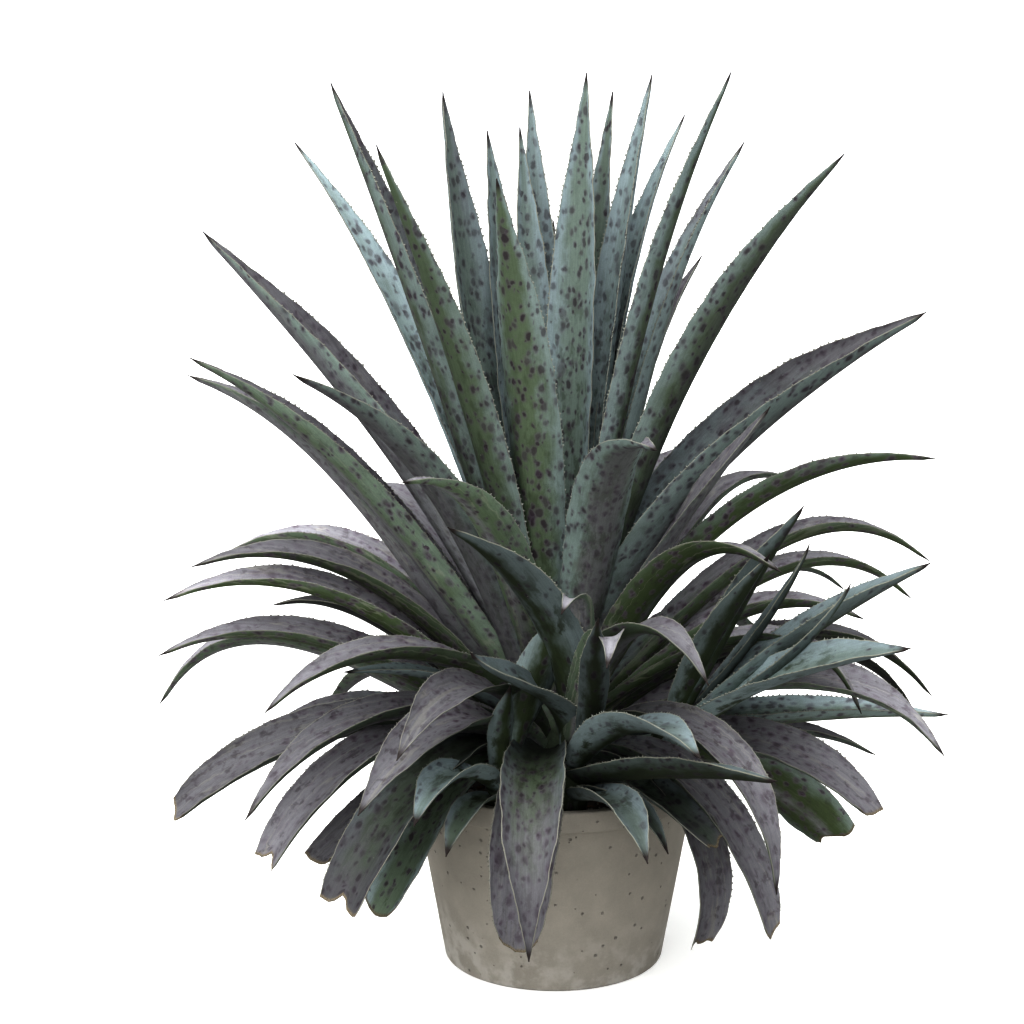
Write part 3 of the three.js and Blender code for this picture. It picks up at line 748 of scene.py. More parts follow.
def edged(g, at, given, skin):
    """The pale margin, the hard tip and dried ends."""
    rim = g.math("ADD", at.margin_at, g.math("MULTIPLY_ADD", at.velvet, 0.0012, -0.0006))
    rim = g.math("MULTIPLY", g.step(rim, 0.0006, 0.0001), g.math("MULTIPLY_ADD", at.age, -0.35, 0.78))
    skin = g.blend(rim, skin, given["Margin"])
    skin = g.blend(at.spine, skin, given["Spine"])
    dry_colour = g.blend(g.step(at.grain, 0.4, 0.7), given["Dry"], given["Spine"])
    return g.blend(g.math("MULTIPLY", at.dry, 0.9), skin, dry_colour)


def leaf_skin_group():
    """Colour, roughness and height of a leaf from its own length, width and age."""
    colours = ("Green", "Bloom", "Aged", "Back", "Moss", "Spot", "Stain", "Margin", "Spine", "Dry")
    inputs = [(name, "NodeSocketColor", (0.2, 0.2, 0.2, 1.0)) for name in colours]
    inputs += [(name, "NodeSocketFloat", 0.5) for name in ("Spots", "Blotches", "Mottle", "Wax")]
    tree, g, given, sink = new_group("leaf skin", inputs)
    at = skin_fields(g)
    band, young = young_skin(g, at, given)
    turned, old = old_skin(g, at, given)
    waxed, keel, under = under_skin(g, at, given)
    skin = g.blend(at.upper, under, g.blend(turned, young, old))
    skin = creased(g, at, given, skin)
    skin = patched(g, at, given, skin)

    waxy = g.blend(at.upper, waxed, g.math("MULTIPLY", g.math("SUBTRACT", 1.0, band), 0.8))
    covered = g.math("MULTIPLY_ADD", g.math("MULTIPLY", waxy, g.math("SUBTRACT", 1.0, turned)), -0.55, 1.0)
    faded = g.math("MULTIPLY", g.step(at.along, 0.4, 0.9), g.math("MULTIPLY", at.age, at.upper))
    keel_below = g.math("MULTIPLY", keel, g.math("SUBTRACT", 1.0, at.upper))
    faded = g.math("MULTIPLY_ADD", keel_below, 0.75, faded)
    covered = g.math("MULTIPLY", covered, g.math("MULTIPLY_ADD", faded, -0.7, 1.0, clamp=True))
    skin = spotted(g, at, given, skin, covered)
    skin = shaded(g, at, given, skin)
    g.feed(sink.inputs["Colour"], edged(g, at, given, skin))

    roughness = g.math("MULTIPLY_ADD", at.grain, 0.16, 0.5)
    g.feed(sink.inputs["Roughness"], g.math("ADD", roughness, g.math("MULTIPLY", given["Wax"], 0.12)))
    height = g.math("ADD", g.math("MULTIPLY", at.fibre, 0.6), g.math("MULTIPLY", at.streak, 0.5))
    g.feed(sink.inputs["Height"], g.math("ADD", height, g.math("MULTIPLY", at.grain, 0.15)))
    return tree


def cement_group():
    """Cast cement: mottled grey, fine pits, and a pale mineral bloom that rises from the foot."""
    inputs = [
        ("Base", "NodeSocketColor", (0.4, 0.4, 0.4, 1.0)),
        ("Bloom", "NodeSocketFloat", 0.5),
        ("Pits", "NodeSocketFloat", 0.5),
    ]
    tree, g, given, sink = new_group("cast cement", inputs)
    place = g.node("ShaderNodeTexCoord").outputs["Object"]
    cloud = g.noise(place, 9.0, 5.0, 0.6, 0.4)
    mottle = g.noise(place, 42.0, 4.0, 0.6)
    grain = g.noise(place, 620.0, 3.0, 0.7)
    shade = g.math("MULTIPLY_ADD", cloud, 0.34, 0.72)
    shade = g.math("MULTIPLY", shade, g.math("MULTIPLY_ADD", mottle, 0.3, 0.88))
    shade = g.math("MULTIPLY", shade, g.math("MULTIPLY_ADD", grain, 0.24, 0.9))
    cement = g.blend(1.0, given["Base"], g.grey(shade), "MULTIPLY")
    high = g.split(place)[2]
    damp = g.step(g.math("ADD", high, g.math("MULTIPLY_ADD", cloud, 0.12, -0.06)), 0.085, 0.0)
    salt = g.math("MULTIPLY", g.math("MULTIPLY", damp, g.step(mottle, 0.42, 0.62)), given["Bloom"])
    cement = g.blend(salt, cement, (0.62, 0.6, 0.56))
    pits = g.node(
        "ShaderNodeTexVoronoi",
        {"Vector": place, "Scale": 150.0, "Randomness": 1.0},
        feature="F1",
    )
    chance = g.split(pits.outputs["Color"])[0]
    size = g.step(chance, 0.7, 1.0, 0.0, 0.34)
    pit = g.step(pits.outputs["Distance"], size, g.math("MULTIPLY", size, 0.5))
    pit = g.math("MULTIPLY", pit, given["Pits"])
    # Painted shade: the pits are darkened towards near black for the shade inside them
    cement = g.blend(g.math("MULTIPLY", pit, 0.6), cement, (0.09, 0.085, 0.08))
    height = g.math("SUBTRACT", g.math("MULTIPLY_ADD", grain, 0.3, mottle), g.math("MULTIPLY", pit, 2.2))
    g.feed(sink.inputs["Colour"], cement)
    g.feed(sink.inputs["Roughness"], g.math("MULTIPLY_ADD", mottle, 0.2, 0.72))
    g.feed(sink.inputs["Height"], height)
    return tree


def material_from(name, group, values, bump, specular=0.5):
    """A material whose colour, roughness and bump come from a group with this material's values."""
    material = bpy.data.materials.new(name)
    material.use_nodes = True
    material.node_tree.nodes.clear()
    graph = Graph(material.node_tree)
    look = graph.node("ShaderNodeGroup", node_tree=group)
    for socket_name, value in values.items():
        graph.feed(look.inputs[socket_name], value)
    raised = graph.node("ShaderNodeBump", {"Height": look.outputs["Height"], "Distance": bump})
    shader = graph.node(
        "ShaderNodeBsdfPrincipled",
        {
            "Base Color": look.outputs["Colour"],
            "Roughness": look.outputs["Roughness"],
            "Normal": raised.outputs["Normal"],
            "Specular IOR Level": specular,
        },
    )
    graph.node("ShaderNodeOutputMaterial", {"Surface": shader.outputs[0]})
    return material


def leaf_material(name, back, spots, blotches, mottle, wax):
    """One finish of the leaves; all of them share the group, with their own spots and wax."""
    if name in bpy.data.materials:
        return bpy.data.materials[name]
    group = bpy.data.node_groups.get("leaf skin") or leaf_skin_group()
    chosen = bpy.context.scene.mangave_leaf
    values = {
        "Green": tuple(chosen.green),
        "Bloom": tuple(chosen.bloom),
        "Aged": tuple(chosen.aged),
        "Back": tuple(getattr(chosen, back)),
        "Moss": tuple(chosen.moss),
        "Spot": tuple(chosen.spot),
        "Stain": tuple(chosen.stain),
        "Margin": tuple(chosen.margin),
        "Spine": tuple(chosen.spine_colour),
        "Dry": tuple(chosen.dry),
        "Spots": spots,
        "Blotches": blotches,
        "Mottle": mottle,
        "Wax": wax,
    }
    return material_from(name, group, values, 0.0005, 0.35)


def soil_material():
    """Potting mix: dark crumbs, with each loose grain in its own colour."""
    material = bpy.data.materials.new("potting mix")
    material.use_nodes = True
    material.node_tree.nodes.clear()
    g = Graph(material.node_tree)
    place = g.node("ShaderNodeTexCoord").outputs["Object"]
    crumb = g.noise(place, 260.0, 5.0, 0.7)
    lump = g.noise(place, 60.0, 3.0, 0.6)
    dark = tuple(bpy.context.scene.mangave_pot.soil)
    earth = g.blend(g.step(crumb, 0.35, 0.7), dark, (0.06, 0.042, 0.03))
    earth = g.blend(g.step(lump, 0.5, 0.75, 0.0, 0.5), earth, (0.011, 0.008, 0.006))
    tone = g.split(g.attribute("grain_tone"))
    stone = g.blend(g.step(crumb, 0.3, 0.75), (0.2, 0.18, 0.16), (0.36, 0.33, 0.29))
    bark = g.blend(g.step(crumb, 0.3, 0.7), (0.05, 0.026, 0.014), (0.13, 0.07, 0.038))
    grain = g.blend(tone[1], bark, stone)
    mixed = g.blend(tone[0], earth, grain)
    raised = g.node("ShaderNodeBump", {"Height": crumb, "Distance": 0.0012})
    shader = g.node(
        "ShaderNodeBsdfPrincipled",
        {"Base Color": mixed, "Normal": raised.outputs["Normal"], "Specular IOR Level": 0.25},
    )
    g.feed(shader.inputs["Roughness"], g.math("MULTIPLY_ADD", crumb, 0.15, 0.82))
    g.node("ShaderNodeOutputMaterial", {"Surface": shader.outputs[0]})
    return material


# Blades


def unit(vectors):
    return vectors / np.linalg.norm(vectors, axis=-1, keepdims=True)


def centreline(root, blade):
    """The four handles of a blade's curve, and the direction to its left."""
    root = np.array(root, float)
    tip = np.array(blade.tip, float)
    along = tip - root
    span = np.linalg.norm(along)
    along /= span
    left = unit(np.array((-along[1], along[0], 0.0)))
    over = np.cross(along, left)

    def handle(rise, turn):
        up, aside = math.radians(rise), math.radians(turn)
        direction = along * math.cos(up) * math.cos(aside) + over * math.sin(up)
        direction = direction + left * math.cos(up) * math.sin(aside)
        return direction * span / (3 * math.cos(up / 2) ** 2)

    first = root + handle(blade.lift, blade.swing)
    second = tip - handle(-blade.droop, -blade.sway)
    return np.array((root, first, second, tip)), left


def on_curve(handles, way):
    back = (1 - way)[:, None]
    way = way[:, None]
    a, b, c, d = handles
    point = back**3 * a + 3 * back**2 * way * b + 3 * back * way**2 * c + way**3 * d
    slope = 3 * back**2 * (b - a) + 6 * back * way * (c - b) + 3 * way**2 * (d - c)
    return point, unit(slope)


def stations(handles, spacing):
    """Even stations along a curve, with closer ones at its end: their ways and lengths from the root."""
    fine = np.linspace(0.0, 1.0, 400)
    points = on_curve(handles, fine)[0]
    steps = np.linalg.norm(np.diff(points, axis=0), axis=1)
    walked = np.concatenate(((0.0,), np.cumsum(steps)))
    total = walked[-1]
    last = total - END_STATIONS[-1]
    count = max(int(round(last / spacing)), 8)
    lengths = np.concatenate(
        (np.linspace(0.0, last, count), [total - short for short in reversed(END_STATIONS[:-1])], (total,))
    )
    return np.interp(lengths, walked, fine), lengths


def width_share(share):
    rising = ROOT_WIDTH + (1 - ROOT_WIDTH) * np.sin((np.pi / 2) * np.clip(share / WIDEST_AT, 0, 1))
    past = np.clip((share - WIDEST_AT) / (1 - WIDEST_AT), 0.0, 1.0)
    return np.where(share < WIDEST_AT, rising, 1 - past**TAPER_POWER)


def smooth(value, low, high):
    share = np.clip((value - low) / (high - low), 0.0, 1.0)
    return share * share * (3 - 2 * share)


def waves(rng, lengths, periods):
    """Slow waves for the two margins, from -1 to 1."""
    total = np.zeros((len(lengths), 2))
    for period in periods:
        total += np.sin(2 * np.pi * lengths[:, None] / period + rng.uniform(0, 2 * np.pi, 2))
    return total / len(periods)


def torn_outline(kind, across, rng):
    """How far each point of a torn end stands out from the end of the leaf, in millimetres."""
    jitter = rng.normal(0.0, 0.5, len(across))
    lean = rng.choice((-1, 1))
    if kind == "slant":
        return -7.0 * (1 + lean * across) - 3 * across**2 + jitter
    if kind == "notch":
        bite = -11.0 * np.exp(-(((across - 0.15 * lean) / 0.3) ** 2))
        return bite - 4.0 * (1 + lean * across) + jitter
    if kind == "round":
        return -13.0 * across**2 + jitter
    if kind == "point":
        return -12.0 * np.abs(across - 0.2 * lean) + jitter
    lobes = 3.5 * np.sin(5.0 * across + rng.uniform(0, 6.0))
    return -5.0 * (1 + lean * across) + lobes + 1.5 * jitter


class Shape:
    """Vertices with their leaf attributes, and faces, gathered until they become one mesh."""

    def __init__(self):
        self.points, self.uv, self.place, self.tone, self.edge = [], [], [], [], []
        self.faces = []
        self.size = 0

    def add(self, points, faces, uv, place, tone, edge):
        count = len(points)
        self.points.append(np.asarray(points, float))
        self.uv.append(np.broadcast_to(uv, (count, 2)))
        self.place.append(np.broadcast_to(place, (count, 3)))
        self.tone.append(np.broadcast_to(tone, (count, 3)))
        self.edge.append(np.broadcast_to(edge, (count, 3)))
        self.faces += [np.asarray(part) + self.size for part in faces]
        self.size += count

    def mesh(self, name):
        points = np.concatenate(self.points) * MM
        mesh = bpy.data.meshes.new(name)
        corners = np.concatenate([part.ravel() for part in self.faces])
        sizes = np.concatenate([np.full(len(part), part.shape[1]) for part in self.faces])
        mesh.vertices.add(len(points))
        mesh.vertices.foreach_set("co", points.ravel())
        mesh.loops.add(len(corners))
        mesh.loops.foreach_set("vertex_index", corners)
        mesh.polygons.add(len(sizes))
        mesh.polygons.foreach_set("loop_start", np.concatenate(((0,), np.cumsum(sizes)[:-1])))
        mesh.polygons.foreach_set("use_smooth", np.ones(len(sizes), bool))
        mesh.update(calc_edges=True)
        mesh.validate()
        layer = mesh.uv_layers.new(name="leaf_uv")
        layer.data.foreach_set("uv", np.concatenate(self.uv)[corners].ravel())
        fields = {"leaf_place": self.place, "leaf_tone": self.tone, "leaf_edge": self.edge}
        for label, parts in fields.items():
            attribute = mesh.attributes.new(label, "FLOAT_VECTOR", "POINT")
            attribute.data.foreach_set("vector", np.concatenate(parts).ravel())
        return mesh


def ring_faces(rows, ring):
    """Quads between rings of points, row after row."""
    row, column = np.meshgrid(np.arange(rows - 1), np.arange(ring), indexing="ij")
    here = row * ring + column
    beside = row * ring + (column + 1) % ring
    return np.stack((here, beside, beside + ring, here + ring), axis=-1).reshape(-1, 4)


def end_faces(first, turned):
    """Faces that close the end of a blade: quads between its two skins, and a triangle at each margin."""
    top = np.arange(ACROSS - 1)
    quads = np.stack((top, top + 1, 2 * ACROSS - top - 1, 2 * ACROSS - top), axis=-1) + first
    sides = np.array(((0, 2 * ACROSS, RING - 1), (ACROSS - 1, ACROSS, ACROSS + 1))) + first
    if turned:
        quads, sides = quads[:, ::-1], sides[:, ::-1]
    return [quads, sides]


def blade_axes(handles, left, way, roll, rng):
    """Centre, tangent, side and face of a blade at each station, rolled and a little twisted."""
    centre, tangent = on_curve(handles, way)
    side = unit(left - tangent * (tangent @ left)[:, None])
    face = np.cross(tangent, side)
    twist = np.radians(roll) * np.sin((np.pi / 2) * way)
    twist = twist + np.radians(TWIST) * way * np.sin(2 * np.pi * (TWIST_TURNS * way + rng.random()))
    onward, aside = np.cos(twist)[:, None], np.sin(twist)[:, None]
    return centre, tangent, side * onward + face * aside, face * onward - side * aside


def blade_widths(blade, share, lengths, rng):
    """Half width and cup angle at each station, and how freely the margins wave there."""
    to_end = lengths[-1] - lengths
    half = blade.width / 2 * width_share(share)
    if blade.pointed:
        half = half * (1 - TIP_PINCH * smooth(share, *PINCH_SHARES))
        spine = bpy.context.scene.mangave_leaf.spine / MM * min(1.0, blade.width / FULL_SPINE_WIDTH)
        half = np.maximum(half, SPINE_RADIUS + SPINE_SWELL * np.minimum(to_end / spine, 1.0))
    calm = smooth(lengths, 0, CALM_ROOT) * smooth(to_end, 0, CALM_END)
    half = half + MARGIN_WAVE * waves(rng, lengths, MARGIN_PERIODS)[:, 0] * calm
    cup = np.radians(blade.cup * (ROOT_CUP + (TIP_CUP - ROOT_CUP) * share))
    if blade.pointed:
        cup = cup * (1 - TIP_OPENING * smooth(-to_end, -TIP_OPENS, 0))
    return half, cup, calm


def blade_sections(blade, share, lengths, half, cup, calm, rng):
    """A ring of points at each station, as lengths across the blade and out of it: the upper face, one
    rim, the underside and the other rim."""
    to_end = lengths[-1] - lengths
    radius = half / np.sin(cup)
    rib = blade.width * (TIP_THICKNESS + (ROOT_THICKNESS - TIP_THICKNESS) * (1 - share) ** THINNING_POWER)
    rib = np.minimum(rib, RIB_IN_HALF * half)
    angle = cup[:, None] * SPREAD
    size = np.abs(SPREAD)
    flat = np.sqrt(SPREAD**2 + RIB_ROUNDING) - math.sqrt(RIB_ROUNDING)
    thick = EDGE_THICKNESS + rib[:, None] * (1 - flat / flat.max())
    if blade.pointed:
        thick *= smooth(to_end, -6, 10)[:, None] * 0.6 + 0.4
    else:
        thick *= (0.45 + 0.55 * smooth(to_end, 0, 6))[:, None]
    wave = bpy.context.scene.mangave_leaf.wave / MM
    ruffle = waves(rng, lengths, RUFFLE_PERIODS) * wave * calm[:, None]
    ruffle = ruffle * (blade.width / FULL_WIDTH)
    lifted = np.where(SPREAD > 0, ruffle[:, :1], ruffle[:, 1:]) * size**3
    pleat = PLEAT * np.sin(PLEATS * SPREAD + rng.uniform(0, 6))[None, :] * calm[:, None] * (1 - size**4)
    lifted = lifted + pleat
    x_top = radius[:, None] * np.sin(angle) - lifted * np.sin(angle)
    y_top = radius[:, None] * (1 - np.cos(angle)) + lifted * np.cos(angle)
    x_low = x_top + thick * np.sin(angle)
    y_low = y_top - thick * np.cos(angle)
    out = (RIM_OUT * np.minimum(half / RIM_WIDTH, 1.0))[:, None] * np.sign(SPREAD)
    x_rim = (x_top + x_low) / 2 + out * np.cos(angle)
    y_rim = (y_top + y_low) / 2 + out * np.sin(angle)
    x_ring = np.concatenate((x_top, x_rim[:, -1:], x_low[:, ::-1], x_rim[:, :1]), axis=1)
    y_ring = np.concatenate((y_top, y_rim[:, -1:], y_low[:, ::-1], y_rim[:, :1]), axis=1)
    return x_ring, y_ring


def blade_maps(blade, lengths, arc, rng):
    """What the leaf skin reads at each point: its map, its place, the tone of its station with its painted
    light and shade, its edges.
    """
    total = lengths[-1]
    to_end = total - lengths
    rows = len(lengths)
    is_low = np.arange(RING) > ACROSS
    is_low[-1] = False
    start = rng.uniform(0.0, 3.0, 2)
    beside = arc[:, None] * RING_SPREAD * MM + start[0] + UNDERSIDE_SHIFT * is_low
    uv = np.stack((beside, np.repeat(lengths[:, None], RING, 1) * MM), -1)
    uv[..., 1] += start[1]
    upper = np.where(is_low, 0.0, 1.0)
    upper[[ACROSS, RING - 1]] = 0.5
    along = np.repeat((lengths / total)[:, None], RING, 1)
    across = np.broadcast_to(RING_SPREAD, along.shape)
    place = np.stack((across, along, np.broadcast_to(upper, along.shape)), -1)
    # The third tone is painted light and shade: the leaf's brightness, partly its own tone, and a brighter
    # or darker root that stands for the light and shade deep in the rosette
    level = blade.bright * rng.uniform(0.94, 1.06)
    level = level * (blade.root + (1 - blade.root) * smooth(lengths, 0, ROOT_PAINTED_LIGHT_ENDS * total))
    tone = np.stack((np.full(rows, blade.aged), np.full(rows, blade.bloom), level), -1)
    dark_tip = dried = 0 * to_end
    if blade.pointed:
        spine = bpy.context.scene.mangave_leaf.spine / MM
        dark_tip = smooth(-to_end, -1.6 * spine, -0.6 * spine)
    else:
        dried = smooth(-to_end, -4.5, -1.2)
    margin_at = (1 - np.abs(RING_SPREAD)) * arc[:, None] * MM
    shades = [np.broadcast_to(part[:, None], along.shape) for part in (dark_tip, dried)]
    return uv, place, tone, np.stack((*shades, margin_at), -1)


def add_blade(shape, root, blade, seed):
    """One fine blade: a rounded channel above, a keel below, waved margins and teeth."""
    rng = np.random.default_rng(seed)
    handles, left = centreline(root, blade)
    way, lengths = stations(handles, bpy.context.scene.mangave_leaf.spacing / MM)
    share = way * blade.cut
    centre, tangent, side, face = blade_axes(handles, left, way, blade.roll, rng)
    half, cup, calm = blade_widths(blade, share, lengths, rng)
    x_ring, y_ring = blade_sections(blade, share, lengths, half, cup, calm, rng)
    points = centre[:, None] + x_ring[..., None] * side[:, None] + y_ring[..., None] * face[:, None]
    if not blade.pointed:
        shift = torn_outline(blade.end, RING_SPREAD, rng) * blade.width / TORN_WIDTH
        shift[ACROSS + 1 : 2 * ACROSS + 1] = shift[:ACROSS][::-1]
        pull = smooth(lengths - lengths[-1], -TORN_REACH, 0)
        points += (pull[:, None] * shift)[..., None] * tangent[:, None]

    uv, place, tone, edge = blade_maps(blade, lengths, half / np.sin(cup) * cup, rng)
    rows = len(lengths)
    faces = [ring_faces(rows, RING), *end_faces(0, True), *end_faces((rows - 1) * RING, False)]
    shape.add(
        points.reshape(-1, 3),
        faces,
        uv.reshape(-1, 2),
        place.reshape(-1, 3),
        np.repeat(tone, RING, axis=0),
        edge.reshape(-1, 3),
    )
    for sign, column in ((1, 0), (-1, ACROSS - 1)):
        rim = points[:, RING - 1 if sign > 0 else ACROSS]
        outward = np.cos(cup)[:, None] * sign * side + np.sin(cup)[:, None] * face
        downward = np.sin(cup)[:, None] * sign * side - np.cos(cup)[:, None] * face
        add_teeth(shape, rng, blade, lengths, rim, outward, downward, tangent, uv[:, column], tone, sign)


def add_teeth(shape, rng, blade, lengths, rim, outward, downward, tangent, uv, tone, sign):
    """Small pale teeth along one margin, pointing outwards and a little to the tip."""
    chosen = bpy.context.scene.mangave_leaf
    total = lengths[-1]
    spacing = chosen.tooth_spacing / MM * (0.75 + blade.width / 200)
    finish = total - (TEETH_BEFORE_SPINE if blade.pointed else TEETH_BEFORE_CUT)
    gaps = rng.uniform(0.6, 1.4, int(total / spacing) + 4) * spacing
    at = TEETH_START * total + np.cumsum(gaps)
    at = at[at < finish]
    if not len(at):
        return

    def pick(values):
        return np.stack([np.interp(at, lengths, values[:, axis]) for axis in range(values.shape[1])], -1)

    size = chosen.tooth / MM * rng.uniform(0.55, 1.25, (len(at), 1)) * min(1.0, 0.45 + blade.width / 90)
    size *= 1.1 - 0.3 * blade.aged
    size *= (0.45 + 0.55 * smooth(finish - at, 0, 80))[:, None]
    foot, out, down, forward = pick(rim), unit(pick(outward)), unit(pick(downward)), unit(pick(tangent))
    hook = rng.uniform(-0.1, 0.7, (len(at), 1))
    foot = foot - TOOTH_SINK * out
    corners = (
        foot - forward * size,
        foot + forward * size,
        foot + down * 0.5 * size,
        foot + (out + forward * hook) * (TOOTH_SINK + size),
    )
    points = np.stack(corners, axis=1)
    first = np.arange(len(at))[:, None] * 4
    pattern = np.array(((0, 1, 3), (1, 2, 3), (2, 0, 3), (0, 2, 1)))
    if sign > 0:
        pattern = pattern[:, ::-1]
    faces = (first[:, None] + pattern).reshape(-1, 3)
    count = 4 * len(at)
    place = np.stack((np.full(count, float(sign)), np.repeat(at / total, 4), np.full(count, 0.8)), -1)
    edge = np.zeros((count, 3))
    edge[3::4, 0] = 0.15
    tip_uv, tip_tone = (np.repeat(pick(values), 4, axis=0) for values in (uv, tone))
    shape.add(points.reshape(-1, 3), [faces], tip_uv, place, tip_tone, edge)


# Stems


def add_stem(shape, profile, start, end, tone):
    """A round stem on a slanting axis; the profile is rows of radius and length from its start."""
    sides = STEM_SIDES
    axis = unit(np.array(end, float) - np.array(start, float))
    across = unit(np.cross(axis, (0.0, 1.0, 0.0)))
    over = np.cross(axis, across)
    turn = np.linspace(0, 2 * np.pi, sides, endpoint=False)
    ring = np.cos(turn)[:, None] * across + np.sin(turn)[:, None] * over
    rows = [np.array(start) + axis * up + ring * radius for radius, up in profile]
    points = np.concatenate(rows)
    count = len(profile)
    walk = np.repeat([up for _, up in profile], sides) * MM
    uv = np.stack((np.tile(turn * 0.02, count), walk), -1)
    lid = (np.arange(sides) + (count - 1) * sides)[None, :]
    base = np.arange(sides)[::-1][None, :]
    faces = [ring_faces(count, sides), lid, base]
    shape.add(points, faces, uv, (0.3, 0.1, 0.0), tone, (0.0, 0.0, 0.02))


def leaf_root(blade):
    """Where a leaf of the main rosette leaves its stem."""
    x, y = blade.tip[:2]
    reach = math.hypot(x, y)
    share = min(max((blade.root_height - STEM_LEAF_START) / (STEM_TOP - STEM_LEAF_START), 0.0), 1.0)
    radius = STEM_LOW_RADIUS + (STEM_TOP_RADIUS - STEM_LOW_RADIUS) * share - ROOT_SINK
    return (x / reach * radius, y / reach * radius, blade.root_height)


def offset_root(offset, blade):
    """Where a leaf of an offset leaves its stem."""
    foot = np.array((*offset.foot, STEM_FOOT), float)
    top = np.array(offset.top, float)
    root = foot + (top - foot) * min((blade.root_height - STEM_FOOT) / (top[2] - STEM_FOOT), 1.0)
    out = unit(np.array((blade.tip[0] - root[0], blade.tip[1] - root[1], 0.0)))
    return root + out * OFFSET_ROOT_OUT


def add_piece(name, mesh, material, slot, *nodes):
    """A finished mesh as a piece of the plant that stands for its nodes."""
    mesh.materials.append(material)
    piece = bpy.data.objects.new(name, mesh)
    bpy.context.scene.collection.objects.link(piece)
    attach(piece, BODY)
    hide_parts(*nodes)


def build_leaves(blades, first, slot, material):
    """Each leaf of one tier as its own piece, numbered on from the first."""
    for order, blade in enumerate(blades):
        number = first + order
        shape = Shape()
        add_blade(shape, leaf_root(blade), blade, LEAF_SEED + number)
        name = f"long_leaf_{number:02d}"
        add_piece(name, shape.mesh(name), material, slot, f"leaf_{number:02d}")


# Pot, soil and plant


def clear_selection():
    for chosen in list(bpy.context.selected_objects):
        chosen.select_set(False)


def begin(name):
    """The primitive that was just added, named and alone in the selection."""
    piece = bpy.context.active_object
    piece.name = name
    piece.data.name = name
    return piece


def select_where(piece, test, kind="faces"):
    """In edit mode, selects only the faces or vertices that pass a test."""
    bpy.ops.mesh.select_mode(type="FACE" if kind == "faces" else "VERT")
    bpy.ops.mesh.select_all(action="DESELECT")
    shape = bmesh.from_edit_mesh(piece.data)
    for part in getattr(shape, kind):
        if test(part):
            part.select_set(True)
    shape.select_flush_mode()
    bmesh.update_edit_mesh(piece.data)


def scale_round(factor):
    bpy.ops.transform.resize(value=(factor, factor, 1.0))


def move_up(distance):
    bpy.ops.mesh.extrude_region_move(TRANSFORM_OT_translate={"value": (0.0, 0.0, distance)})


def apply_modifier(piece, kind, **settings):
    modifier = piece.modifiers.new(kind.lower(), kind)
    for name, value in settings.items():
        setattr(modifier, name, value)
    bpy.context.view_layer.objects.active = piece
    bpy.ops.object.modifier_apply(modifier=modifier.name)


def cut_with_cylinders(piece, cylinders):
    """Cuts round holes; each is a place, a radius, a depth and a lean."""
    cutters = []
    for place, radius, depth, lean in cylinders:
        clear_selection()
        bpy.ops.mesh.primitive_cylinder_add(
            vertices=32, radius=radius, depth=depth, location=place, rotation=lean
        )
        cutters.append(bpy.context.active_object)
    clear_selection()
    for cutter in cutters:
        cutter.select_set(True)
    bpy.context.view_layer.objects.active = cutters[0]
    if len(cutters) > 1:
        bpy.ops.object.join()
    cutter = bpy.context.active_object
    clear_selection()
    piece.select_set(True)
    apply_modifier(piece, "BOOLEAN", operation="DIFFERENCE", object=cutter, solver="EXACT")
    bpy.data.objects.remove(cutter, do_unlink=True)


def settle(piece):
    """Puts the object at the origin, with its place in its mesh."""
    clear_selection()
    piece.select_set(True)
    bpy.context.view_layer.objects.active = piece
    bpy.ops.object.transform_apply(location=True, rotation=True, scale=True)
    bpy.ops.object.shade_smooth_by_angle(angle=math.radians(38))


